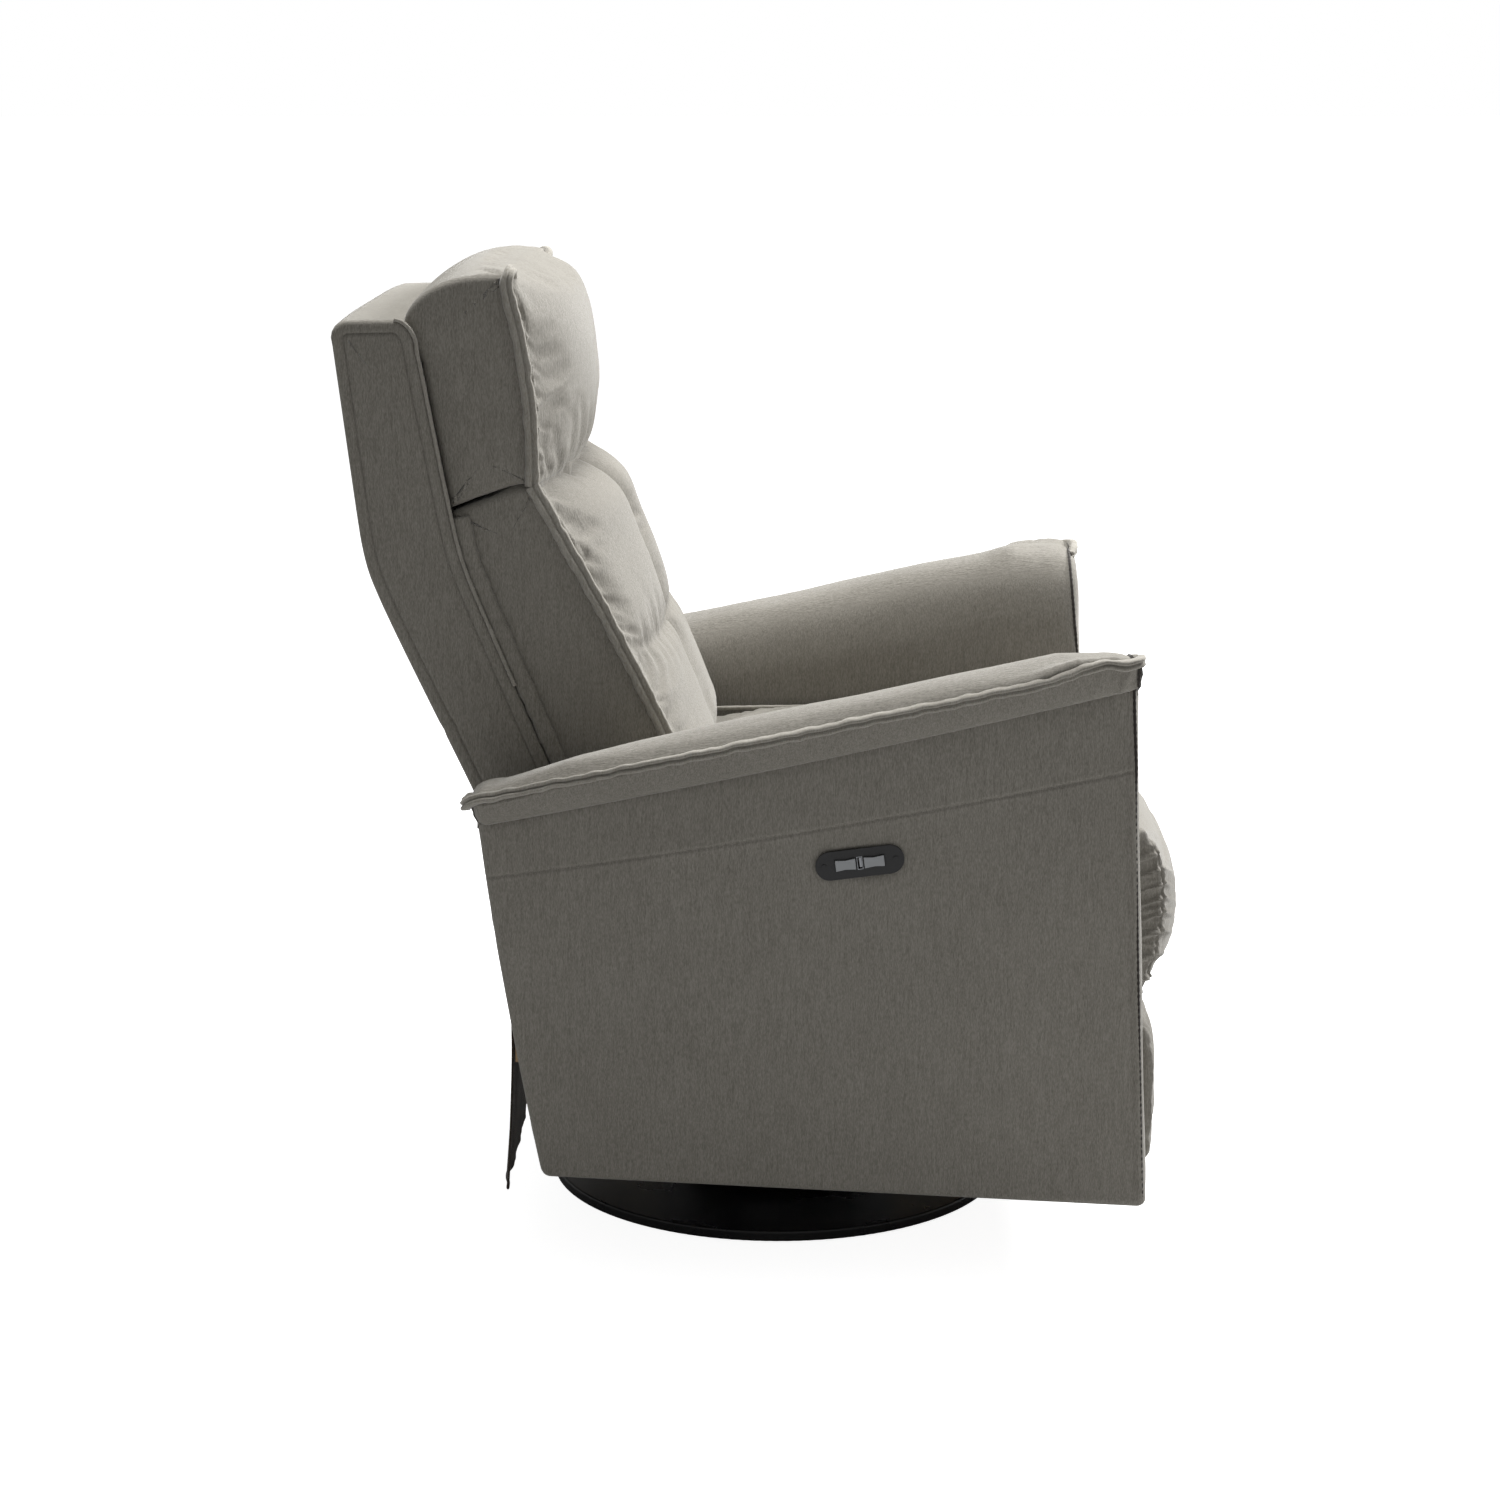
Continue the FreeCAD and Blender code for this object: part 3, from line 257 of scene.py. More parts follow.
def skin_material(name, colour, roughness, metallic=0.0, scale=900.0, pits=0.12, dust=0.06):
    made, w, shader = new_material(name)
    skin = w.add("ShaderNodeGroup", node_tree=SKIN)
    for label, value in (("Color", (*colour, 1)), ("Amount", dust), ("Scale", scale),
                         ("Roughness", roughness)):
        skin.inputs[label].default_value = value
    w.links.new(skin.outputs["Color"], shader.inputs["Base Color"])
    w.links.new(skin.outputs["Roughness"], shader.inputs["Roughness"])
    bump = w.add("ShaderNodeBump", {"Height": skin.outputs["Height"], "Strength": pits, "Distance": 0.0003})
    w.links.new(bump.outputs["Normal"], shader.inputs["Normal"])
    shader.inputs["Metallic"].default_value = metallic
    return made


def wood_material(name, light, dark, rings):
    """Sawn board or ply: grain along the chair's depth."""
    made, w, shader = new_material(name)
    place = w.add("ShaderNodeTexCoord").outputs["Object"]
    drawn = w.add("ShaderNodeVectorMath", {0: place, 1: (9.0, 1.2, 9.0)}, operation="MULTIPLY").outputs[0]
    swirl = w.add("ShaderNodeTexNoise", {"Vector": drawn, "Scale": 3.0, "Detail": 5.0, "Distortion": 0.6})
    bands = w.maths("SINE", w.maths("MULTIPLY", swirl.outputs["Fac"], rings))
    fibre = w.add("ShaderNodeTexNoise", {"Vector": drawn, "Scale": 60.0, "Detail": 3.0}).outputs["Fac"]
    share = w.maths("MULTIPLY_ADD", bands, 0.3, w.maths("MULTIPLY", fibre, 0.9))
    w.links.new(w.mix(share, (*light, 1), (*dark, 1)), shader.inputs["Base Color"])
    bump = w.add("ShaderNodeBump", {"Height": fibre, "Strength": 0.3, "Distance": 0.0005})
    w.links.new(bump.outputs["Normal"], shader.inputs["Normal"])
    shader.inputs["Roughness"].default_value = 0.7
    return made


make_camera()
make_floor()
make_studio()
WEAVE = make_weave_group()
SKIN = make_wear_group()

TAUPE_LIGHT, TAUPE_DARK = (0.285, 0.27, 0.238), (0.165, 0.153, 0.13)
MATERIALS = {
    "fabric_body": cloth_material("taupe_cloth", TAUPE_LIGHT, TAUPE_DARK),
    "welt": cloth_material("taupe_cloth_on_the_bias", (0.37, 0.352, 0.312), (0.23, 0.213, 0.183), grain=0.6),
    "piping_dark": cloth_material("dark_edging", (0.055, 0.048, 0.042), (0.02, 0.018, 0.016), grain=1.2),
    "fabric_skirt": cloth_material("brown_lining", (0.075, 0.06, 0.05), (0.03, 0.024, 0.02), mottle=0.4),
    "foam": cloth_material("cream_foam", (0.85, 0.8, 0.62), (0.7, 0.64, 0.45), contrast=0.5),
    "webbing": cloth_material("black_webbing", (0.1, 0.1, 0.1), (0.03, 0.03, 0.03), contrast=1.2),
    "hardwood": wood_material("sawn_hardwood", (0.55, 0.38, 0.22), (0.34, 0.21, 0.11), 22.0),
    "plywood": wood_material("birch_ply", (0.68, 0.52, 0.33), (0.50, 0.36, 0.2), 14.0),
    "black_steel": skin_material("black_powder_coat", (0.012, 0.012, 0.013), 0.3, scale=700.0, dust=0.05),
    "zinc_steel": skin_material("zinc_plate", (0.55, 0.56, 0.58), 0.32, metallic=1.0, dust=0.12),
    "spring_steel": skin_material("oiled_spring_wire", (0.22, 0.22, 0.23), 0.35, metallic=1.0, dust=0.2),
    "bearing_steel": skin_material("polished_race", (0.7, 0.71, 0.73), 0.12, metallic=1.0, dust=0.04),
    "black_plastic": skin_material("black_moulding", (0.012, 0.012, 0.013), 0.42, pits=0.3),
    "silver_plastic": skin_material("satin_silver_keys", (0.30, 0.31, 0.32), 0.32, metallic=0.35, pits=0.1),
    "port_metal": skin_material("stamped_port", (0.35, 0.36, 0.38), 0.3, metallic=1.0),
    "glide_plastic": skin_material("nylon_glides", (0.04, 0.04, 0.04), 0.55),
}

for row in frame["record"]["subparts"]:
    node = frame["nodes"][row["node"]]
    node.data.materials.clear()
    node.data.materials.append(MATERIALS[row["material_slot"]])


# ---------------------------------------------------------------- curves and meshes

def even_curve(points, count, closed=False):
    """A smooth curve through points (Catmull-Rom), as count points evenly spaced along it."""
    p = np.array(points, float)
    if closed:
        p = np.vstack([p[-1], p, p[0], p[1]])
    else:
        p = np.vstack([2 * p[0] - p[1], p, 2 * p[-1] - p[-2]])
    fine = []
    steps = 24
    for a, b, c, d in zip(p[:-3], p[1:-2], p[2:-1], p[3:]):
        for s in np.arange(steps) / steps:
            fine.append(0.5 * (2 * b + (c - a) * s + (2 * a - 5 * b + 4 * c - d) * s ** 2
                               + (3 * b - a - 3 * c + d) * s ** 3))
    fine.append(p[-2])
    fine = np.array(fine)
    gone = np.concatenate([[0], np.cumsum(np.linalg.norm(np.diff(fine, axis=0), axis=1))])
    places = np.linspace(0, gone[-1], count + (1 if closed else 0))[:count]
    return np.array([[np.interp(s, gone, fine[:, k]) for k in range(p.shape[1])] for s in places])


def waves(where, lengths, size, seed):
    """Uneven ripples along a line: sines of the given wavelengths with seeded phases."""
    rng = np.random.default_rng(seed)
    total = np.zeros_like(np.asarray(where, float))
    for length in lengths:
        phase, weight = rng.uniform(0, 2 * math.pi), rng.uniform(0.6, 1.0)
        drift = 0.6 * np.sin(np.asarray(where) * 2 * math.pi / (length * 5.3) + rng.uniform(0, 6))
        total += weight * np.sin(np.asarray(where) * 2 * math.pi / length + phase + drift)
    return size * total / len(lengths)


def smooth_field(shape, cells, seed):
    """Seeded soft noise on a grid, from -1 to 1."""
    rng = np.random.default_rng(seed)
    coarse = rng.uniform(-1, 1, (cells[0] + 3, cells[1] + 3))
    u = np.linspace(0, cells[0], shape[0])
    v = np.linspace(0, cells[1], shape[1])
    iu, iv = u.astype(int), v.astype(int)
    fu, fv = u - iu, v - iv
    fu, fv = fu * fu * (3 - 2 * fu), fv * fv * (3 - 2 * fv)
    a = coarse[np.ix_(iu, iv)]
    b = coarse[np.ix_(iu + 1, iv)]
    c = coarse[np.ix_(iu, iv + 1)]
    d = coarse[np.ix_(iu + 1, iv + 1)]
    fu, fv = fu[:, None], fv[None, :]
    return a * (1 - fu) * (1 - fv) + b * fu * (1 - fv) + c * (1 - fu) * fv + d * fu * fv


def mesh_piece(name, points, faces, material, body=None, smooth=True):
    """A piece from points in millimetres; it rides on a body if one is named."""
    mesh = bpy.data.meshes.new(name)
    mesh.from_pydata([tuple(p) for p in np.asarray(points) * MM], [],
                     [tuple(int(i) for i in f) for f in faces])
    mesh.validate()
    if smooth:
        mesh.shade_smooth()
    piece = bpy.data.objects.new(name, mesh)
    bpy.context.scene.collection.objects.link(piece)
    mesh.materials.append(MATERIALS[material])
    if body:
        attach(piece, body)
    return piece


def grid_faces(rows, columns, closed=False, start=0):
    """Quads of a grid whose points run row by row."""
    last = columns if closed else columns - 1
    return [(start + r * columns + c, start + r * columns + (c + 1) % columns,
             start + (r + 1) * columns + (c + 1) % columns, start + (r + 1) * columns + c)
            for r in range(rows - 1) for c in range(last)]


def loft(name, rings, material, body=None, cap_bulge=0.0, cap_steps=(0.96, 0.91, 0.84, 0.74, 0.6, 0.42, 0.22),
         spine=None, cap_ripple=None, cap_ease=14.0):
    """A closed piece through rings of equal length, its two ends closed by loops that shrink to a middle.

    cap_bulge is how far an end swells outwards, in millimetres, beyond cap_ease from its edge. spine gives,
    for an end ring, the points that its own points close on, where that isn't just the middle.
    """
    rings = np.asarray(rings, float)
    count, around = rings.shape[:2]
    points = [rings.reshape(-1, 3)]
    faces = grid_faces(count, around, closed=True)
    total = count * around
    for end, previous in ((0, 0), (count - 1, (count - 1) * around)):
        ring = rings[end]
        middle = np.broadcast_to(ring.mean(axis=0), ring.shape) if spine is None else spine(ring)
        outward = ring.mean(axis=0) - rings[1 if end == 0 else count - 2].mean(axis=0)
        outward /= np.linalg.norm(outward)
        for share in (*cap_steps, 0.0):
            loop = middle + (ring - middle) * share
            room = np.linalg.norm(loop[:, None, :] - ring[None, :, :], axis=2).min(axis=1)
            loop = loop + outward * (cap_bulge * (1 - np.exp(-(room / cap_ease) ** 2)))[:, None]
            if cap_ripple is not None:
                loop = loop + outward * cap_ripple(loop, share)[:, None]
            points.append(loop)
            for k in range(around):
                nxt = (k + 1) % around
                quad = (previous + k, previous + nxt, total + nxt, total + k)
                faces.append(quad if end else quad[::-1])
            previous, total = total, total + around
    piece = mesh_piece(name, np.vstack(points), faces, material, body)
    close_up(piece)
    return piece


def close_up(piece, touch=0.00005):
    """Join points that fall together and make all faces look outwards."""
    work = bmesh.new()
    work.from_mesh(piece.data)
    bmesh.ops.remove_doubles(work, verts=work.verts, dist=touch)
    bmesh.ops.dissolve_degenerate(work, edges=work.edges, dist=touch / 10)
    bmesh.ops.recalc_face_normals(work, faces=work.faces)
    work.to_mesh(piece.data)
    work.free()
    piece.data.shade_smooth()


def tube(name, path, section, out, material, body=None, wobble=0.0, seed=1, stitch=0.0, stitch_pitch=5.0,
         size=1.0):
    """Sweep a small closed section along a path; out is the section's first axis, for all points or each."""
    path = np.asarray(path, float)
    ahead = np.gradient(path, axis=0)
    ahead /= np.linalg.norm(ahead, axis=1)[:, None]
    out = np.broadcast_to(np.asarray(out, float), path.shape)
    out = out - (out * ahead).sum(1)[:, None] * ahead
    out /= np.linalg.norm(out, axis=1)[:, None]
    side = np.cross(ahead, out)
    gone = np.concatenate([[0], np.cumsum(np.linalg.norm(np.diff(path, axis=0), axis=1))])
    sway = waves(gone, (23, 37, 61, 113), wobble, seed)
    grow = 1 + waves(gone, (17, 29, 53), 0.12 if wobble else 0.0, seed + 7)
    grow = (grow + stitch * np.sin(gone * 2 * math.pi / stitch_pitch)) * size
    rings = [p + s * w + np.array([(o * a + s * b) * g for a, b in section])
             for p, o, s, w, g in zip(path, out, side, sway, grow)]
    return loft(name, rings, material, body, cap_steps=(0.5,))


SOFT_BAR = [(1, -0.5), (1, 0.5), (0.86, 0.86), (0.4, 1), (-0.4, 1), (-1, 0.8), (-1, -0.8),
            (-0.4, -1), (0.4, -1), (0.86, -0.86)]
ROUND = [(math.cos(a), math.sin(a)) for a in np.linspace(0, 2 * math.pi, 10, endpoint=False)]
LIPS = [(-1, -4.2), (4, -4.6), (8.2, -4.4), (10.0, -2.9), (9.2, -1.2), (5.6, 0), (9.2, 1.2), (10.0, 2.9),
        (8.2, 4.4), (4, 4.6), (-1, 4.2)]


def scaled(section, size, wide=1.0):
    return [(a * size, b * size * wide) for a, b in section]


def middle_line(ring, along=2, reach=42.0, step=6.0):
    """For an end ring, the line down its middle that a flat panel closes on."""
    other = 3 - along if ring[:, 0].std() < 1e-6 else 1
    lengthwise, crosswise = ring[:, along], ring[:, other]
    spots = np.linspace(lengthwise.min() + reach, lengthwise.max() - reach, 24)
    centres = []
    for spot in spots:
        beside = crosswise[np.abs(lengthwise - spot) < 9]
        centres.append((beside.min() + beside.max()) / 2)
    place = np.clip(np.round(lengthwise / step) * step, spots[0], spots[-1])
    target = np.empty_like(ring)
    target[:] = ring.mean(axis=0)
    target[:, along] = place
    target[:, other] = np.interp(place, spots, centres)
    return target


def loop_of(*stretches):
    """One closed outline from smooth stretches, each (points, count), that meet at corners."""
    return np.vstack([even_curve(points, count + 1)[:-1] for points, count in stretches])


def bent_edge(z, knee, low_slope, high_slope, radius):
    """Depth of an edge with two straight stretches and a rounded bend; knee is (depth, height)."""
    above = z - knee[1]
    mean, turn = (low_slope + high_slope) / 2, (low_slope - high_slope) / 2
    return knee[0] + mean * above - turn * np.sqrt(above ** 2 + radius ** 2)


def edge_points(depth, start, end, count=24):
    """Points (depth, height) of an edge whose depth is a function of the height."""
    heights = np.linspace(start, end, count)
    return np.column_stack([depth(heights), heights])


def inset(loop, amount):
    """Move a closed flat outline inwards; the amount is one number, or one for each point."""
    ahead = np.roll(loop, -1, axis=0) - np.roll(loop, 1, axis=0)
    ahead /= np.linalg.norm(ahead, axis=1)[:, None] + 1e-9
    turned = np.stack([-ahead[:, 1], ahead[:, 0]], axis=1)
    area = np.sum(loop[:, 0] * np.roll(loop[:, 1], -1) - loop[:, 1] * np.roll(loop[:, 0], -1))
    return loop + turned * np.sign(area) * np.asarray(amount).reshape(-1, 1)


def fade(distance, reach):
    """One at a seam, falling off with distance from it."""
    return np.exp(-(np.asarray(distance) / reach) ** 2)


def across(half, outline, edge=9.0, count=60, crowding=0.55, edge_steps=5):
    """Rings set across the chair, closer together at the sides, where the outline rounds off by edge."""
    spread = np.linspace(-1, 1, count)
    spots = (half - edge) * ((1 - crowding) * spread + crowding * np.sin(spread * math.pi / 2))
    rings = [(x, outline(x)) for x in spots]
    turns = np.linspace(0, math.pi / 2, edge_steps, endpoint=False)
    ends = [(half - edge + edge * math.cos(a), edge * (1 - math.sin(a))) for a in turns]
    before = [(-x, inset(outline(-x), move)) for x, move in ends]
    after = [(x, inset(outline(x), move)) for x, move in reversed(ends)]
    return np.array([np.column_stack([np.full(len(loop), x), loop]) for x, loop in before + rings + after])


def settle(piece, seams, pressure, growth, cap, frames=18, bending=0.6, stiffness=12.0):
    """Let a stuffed piece's cloth swell and crease between its held seams, and keep the result.

    seams is true for each point that thread holds; no point moves further than cap millimetres.
    """
    mesh = piece.data
    before = np.array([v.co for v in mesh.vertices])
    held = piece.vertex_groups.new(name="held")
    held.add([int(i) for i in np.flatnonzero(seams(before / MM))], 1.0, "REPLACE")
    cloth = piece.modifiers.new("cloth", "CLOTH")
    rules = cloth.settings
    rules.quality = 4
    rules.mass = 0.25
    rules.tension_stiffness = rules.compression_stiffness = stiffness
    rules.shear_stiffness = stiffness / 3
    rules.bending_stiffness = bending
    rules.use_pressure = True
    rules.uniform_pressure_force = pressure
    rules.shrink_min = -growth
    rules.vertex_group_mass = "held"
    rules.effector_weights.gravity = 0
    cloth.collision_settings.use_collision = False
    scene = bpy.context.scene
    for frame_number in range(1, frames + 1):
        scene.frame_set(frame_number)
    shaped = piece.evaluated_get(bpy.context.evaluated_depsgraph_get())
    after = np.array([v.co for v in shaped.data.vertices])
    piece.modifiers.remove(cloth)
    piece.vertex_groups.remove(held)
    scene.frame_set(1)
    move = after - before
    length = np.linalg.norm(move, axis=1)[:, None]
    limit = cap * MM
    move *= np.where(length > 1e-9, limit * np.tanh(length / limit) / np.maximum(length, 1e-9), 0)
    mesh.vertices.foreach_set("co", (before + move).astype(np.float32).ravel())
    mesh.update()


def gathers(along, run, rows):
    """Depth of the narrow folds that a tight seam pulls into the cloth beside it.

    along is the way along the seam and run the way from it; a row of folds is its pitch, lean,
    reach, depth and seed.
    """
    total = np.zeros_like(along)
    for pitch, lean, reach, depth, seed in rows:
        place = along + lean * run
        turn = place * math.pi / pitch + 1.1 * np.sin(place / 23 + seed) + 0.6 * np.sin(run / 31 + seed)
        strength = depth * (0.6 + 0.4 * np.sin(place / 37 + 2.1 * seed))
        total += strength * np.exp(-(np.sin(turn) / 0.45) ** 2) * np.exp(-run / reach)
    return total * np.clip(run / 4, 0.2, 1)


def press(piece, depth):
    """Press a cover inwards, by a depth worked out from its points and the way each one faces."""
    mesh = piece.data
    points = np.empty(3 * len(mesh.vertices))
    faces_to = np.empty(3 * len(mesh.vertices))
    mesh.vertices.foreach_get("co", points)
    mesh.vertices.foreach_get("normal", faces_to)
    points, faces_to = points.reshape(-1, 3) / MM, faces_to.reshape(-1, 3)
    points -= faces_to * depth(points, faces_to)[:, None]
    mesh.vertices.foreach_set("co", (points * MM).ravel())
    mesh.update()


# ---------------------------------------------------------------- arms

ARM_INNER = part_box("arm_cover_left")[0][0] / MM
ARM_THICK, ROLL_REACH = 87.0, 116.0
ARM_NOSE, ARM_TAIL = -375.0, 330.0
ARM_FOOT, ARM_REAR_TOP, ARM_FRONT_TOP = 84.0, 520.0, 560.0


def arm_rear(z):
    """Depth of the arm's rear edge, which leans forward and bows a little towards its foot."""
    down = np.clip((ARM_REAR_TOP - z) / (ARM_REAR_TOP - ARM_FOOT), 0, 1)
    return 302 - 70 * down + 18 * down * (1 - down)


def arm_front(z):
    return -355 - 0.042 * np.clip(ARM_FRONT_TOP - z, 0, None)


def falling_line(y, front, rear, sag):
    """Height of a line that falls from the arm's nose to its tail and sags between them."""
    share = np.clip((y - ARM_NOSE) / (ARM_TAIL - ARM_NOSE), 0, 1)
    return front + (rear - front) * share - 4 * sag * share * (1 - share)


def band_line(y):
    return falling_line(y, 544, 424, 8)


def crease_line(y):
    return falling_line(y, 628, 484, 5.5)


def roll_crown(y):
    """Height of the roll's top: level over the nose, then falling, a little faster at the tail."""
    return np.minimum(648, 545 + 0.198 * (215 - y)) - 10 * np.clip((y - 215) / 115, 0, 1)


def welt_line(y):
    """Height of the welt: it lifts just behind the nose and runs level over it."""
    return np.minimum(650.5, 506 + 0.215 * (ARM_TAIL - y) + 7 * fade(y + 300, 28))


PANEL_POINTS, BAND_POINTS, STRIP_POINTS, ROLL_POINTS = 64, 20, 20, 44


def arm_outline(y, low):
    """Section of an arm across its length at depth y: out from the inner face, and up."""
    crown, welt, crease, band = roll_crown(y), welt_line(y), crease_line(y), band_line(y)
    return loop_of(
        ([(78, low), (85, low + 3), (ARM_THICK, low + 12)], 5),
        ([(ARM_THICK, low + 12), (ARM_THICK, (low + band) / 2), (ARM_THICK + 1, band - 8)],
         PANEL_POINTS - 12),
        ([(ARM_THICK + 1, band - 8), (ARM_THICK + 1.6, band), (ARM_THICK + 1.4, band + 8)], 12),
        ([(ARM_THICK + 1.4, band + 8), (88, (band + crease) / 2), (88, crease - 7), (86.5, crease - 2),
          (82, crease + 2)], BAND_POINTS),
        ([(82, crease + 2), (90, crease - 0.5), (99, crease - 3), (105, crease + 2),
          (111, (crease + welt) / 2), (ROLL_REACH, welt - 2)], STRIP_POINTS),
        ([(ROLL_REACH, welt - 2), (110, welt + 5), (94, crown + 4), (66, crown + 7), (36, crown - 2),
          (14, crown - 24), (3, crown - 62), (0, crown - 110)], ROLL_POINTS),
        ([(0, crown - 110), (0, low + 12)], 32),
        ([(0, low + 12), (2, low + 3), (10, low)], 4),
        ([(10, low), (78, low)], 8))


def end_rounding(loop, depth):
    """How far an arm's end rounds off: little at the panel, most at the inner top of the roll."""
    on_roll = np.clip((loop[:, 1] - band_line(depth)) / 90, 0, 1)
    return 9 + on_roll * (6 + 20 * np.clip((100 - loop[:, 0]) / 40, 0, 1))


def build_arm(side, label, seed):
    """One upholstered arm: a flared panel, a welted pillow roll and a piped front."""
    rows = np.concatenate([np.linspace(0, 0.12, 16), np.linspace(0.12, 0.86, 64)[1:],
                           np.linspace(0.86, 1, 26)[1:]])
    round_steps = np.linspace(0, math.pi / 2, 6, endpoint=False)
    stations = ([(0.0, a) for a in round_steps] + [(t, None) for t in rows]
                + [(1.0, a) for a in round_steps[::-1]])
    control = [(lo + hi) / 2 / MM for lo, hi in zip(*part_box("control_plate"))]
    first_band = 5 + PANEL_POINTS
    first_strip = first_band + BAND_POINTS
    first_roll = first_strip + STRIP_POINTS
    after_roll = first_roll + ROLL_POINTS
    rings = []
    for t, angle in stations:
        nominal = 302 - 658 * t
        loop = arm_outline(nominal, 114 - 30 * t)
        z = loop[:, 1]
        rounding = end_rounding(loop, nominal)
        shift = np.zeros(len(loop))
        trimmed = loop
        if angle is not None:
            trimmed = inset(loop, np.minimum(rounding, 17) * (1 - math.sin(angle)))
            shift = rounding * (1 - math.cos(angle))
        rear, front = arm_rear(z), arm_front(z)
        y = rear - rounding + (front - rear + 2 * rounding) * t
        if angle is not None:
            y = rear - shift if t == 0.0 else front + shift
        rings.append(np.column_stack([trimmed[:, 0], y, trimmed[:, 1]]))
    rings = np.array(rings)
    out, y, z = rings[..., 0], rings[..., 1], rings[..., 2]
    count, around = out.shape
    column = np.arange(around)[None, :] + np.zeros((count, 1))
    on_panel = (column >= 5) & (column < first_strip)
    on_strip = (column >= first_strip) & (column < first_roll)
    on_roll = (column >= first_roll) & (column < after_roll)
    clear_of_plate = 1 - fade(y - control[1], 95) * fade(z - control[2], 62) if side == RIGHT else 1.0
    up_panel = np.clip((z - 100) / 380, 0, 1)
    swell = 2.6 * np.sin(math.pi * up_panel) * np.sin(math.pi * np.clip((302 - y) / 658, 0, 1)) ** 0.5
    uneven = smooth_field((count, around), (9, 12), seed) * 1.1
    move = np.where(on_panel, (swell + uneven) * clear_of_plate - 0.6, 0)
    move -= np.where(on_panel, 1.5 * fade(z - band_line(y), 1.6), 0)
    if side == RIGHT:
        key_room = np.exp(-((y - control[1]) / 36) ** 6 - ((z - control[2]) / 11) ** 6)
        move -= np.where(on_panel, 7.0 * key_room, 0)
    front_gap = y - arm_front(z)
    move -= np.where(on_panel, 1.3 * fade(front_gap - 12, 1.8), 0)
    move += np.where(on_panel, 1.2 * fade(front_gap - 5.5, 3.5), 0)
    from_crease = np.abs(z - crease_line(y))
    gathers = waves(y + 0.25 * z, (8.5, 13, 21), 1.0, seed + 1)
    near_front = np.clip((-y - 300) / 50, 0, 1)
    move += np.where(on_panel, gathers * 0.7 * fade(from_crease, 16), 0)
    move += np.where(on_strip, gathers * (0.8 + 3.2 * near_front), 0)
    puckers = waves(y, (11, 17, 31), 1.0, seed + 2)
    along_roll = np.clip((column - first_roll) / ROLL_POINTS, 0, 1)
    lift = np.where(on_roll, puckers * 1.3 * np.exp(-along_roll / 0.13), 0)
    lift += np.where(on_roll, 2.2 * smooth_field((count, around), (11, 24), seed + 3), 0)
    lift *= np.clip(np.minimum(302 - y, y + 355) / 25, 0, 1)
    out = out + move
    z = z + lift
    rings = np.stack([side * (ARM_INNER + out), y, z], axis=2)

    cover = loft(f"arm_upholstery_{label}", rings, "fabric_body", "seat", cap_bulge=5, spine=middle_line,
                 cap_ripple=lambda loop, share: 0.8 * np.sin(loop[:, 2] / 37 + seed) * (1 - share))
    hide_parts(f"arm_cover_{label}")
    return cover


def arm_welt(side, label, seed):
    """The double-lipped flange sewn along the outer edge of the roll, with an ear at each end."""
    depths = np.linspace(296, -338, 130)
    main = [(ROLL_REACH - 4, y, welt_line(y)) for y in depths]
    rear_turn = [(58, 301, 505), (84, 303, 505), (102, 303, 507)]
    front_turn = [(108, -347, 652), (96, -350.5, 652), (76, -350, 649), (58, -345, 645)]
    route = even_curve(rear_turn + main[::4] + front_turn, 300)
    lean = [(0.15, 1, -0.05)] * 2 + [(0.75, 0.75, 0)] + [(1, 0, -0.2)] * len(main[::4])
    lean += [(0.8, -0.6, -0.1), (0.6, -0.8, 0), (0.2, -1, 0), (0.1, -1, 0)]
    hints = even_curve(lean, 300)
    turn = np.array([side, 1, 1])
    flange = tube(f"arm_welt_{label}", route * turn + np.array([side * ARM_INNER, 0, 0]),
                  scaled(LIPS, 0.85, 1.25), hints * turn, "welt", "seat", wobble=1.5, seed=seed)


def arm_piping(side, label):
    """The dark overlocked edge around the front of an arm, from foot to foot."""
    y_front = -356.0
    loop = arm_outline(y_front, 84)
    first_roll = 5 + PANEL_POINTS + BAND_POINTS + STRIP_POINTS
    open_part = loop[3:first_roll + ROLL_POINTS + 30]
    trimmed = inset(open_part, np.minimum(end_rounding(open_part, y_front), 17) * 0.29)[2:-2]
    z = trimmed[:, 1]
    rounding = end_rounding(trimmed, y_front)
    tuck = 2.5 * np.clip((560 - z) / 60, 0, 1) * (trimmed[:, 0] > 44)
    y = arm_front(z) + rounding * 0.28 + tuck - 0.8
    route = even_curve(np.column_stack([side * (ARM_INNER + trimmed[:, 0]), y, z])[::5], 420)
    edging = tube(f"arm_front_edging_{label}", route, scaled(ROUND, 1.7), (side * 0.3, -1, 0), "piping_dark",
                  "seat", stitch=0.22, stitch_pitch=4.4)


for side, label in SIDES:
    build_arm(side, label, 11 if side == RIGHT else 12)
    arm_welt(side, label, 21 if side == RIGHT else 22)
    arm_piping(side, label)


# ---------------------------------------------------------------- back

SHELL_FOOT, SHELL_CORNER = 354.0, 940.0


def shell_rear(z):
    return bent_edge(z, (417, 724), 0.46, 0.113, 25)


def shell_front(z):
    return bent_edge(z, (320.7, 733), 0.418, 0.18, 25)


def quarter(middle, wide, tall, start, end, count=7):
    """Part of an ellipse, between two angles in degrees."""
    turn = np.radians(np.linspace(start, end, count))
    return np.column_stack([middle[0] + wide * np.cos(turn), middle[1] + tall * np.sin(turn)])


SHELL_REAR = edge_points(shell_rear, SHELL_FOOT, 954)
SHELL_TOP = np.vstack([quarter((426, 954), 17, 17, 0, 90, 5), [(380, 972)]])
SHELL_FRONT = np.vstack([quarter((381, SHELL_CORNER), 23, 32, 92, 180),
                         edge_points(shell_front, SHELL_CORNER - 12, SHELL_FOOT)])



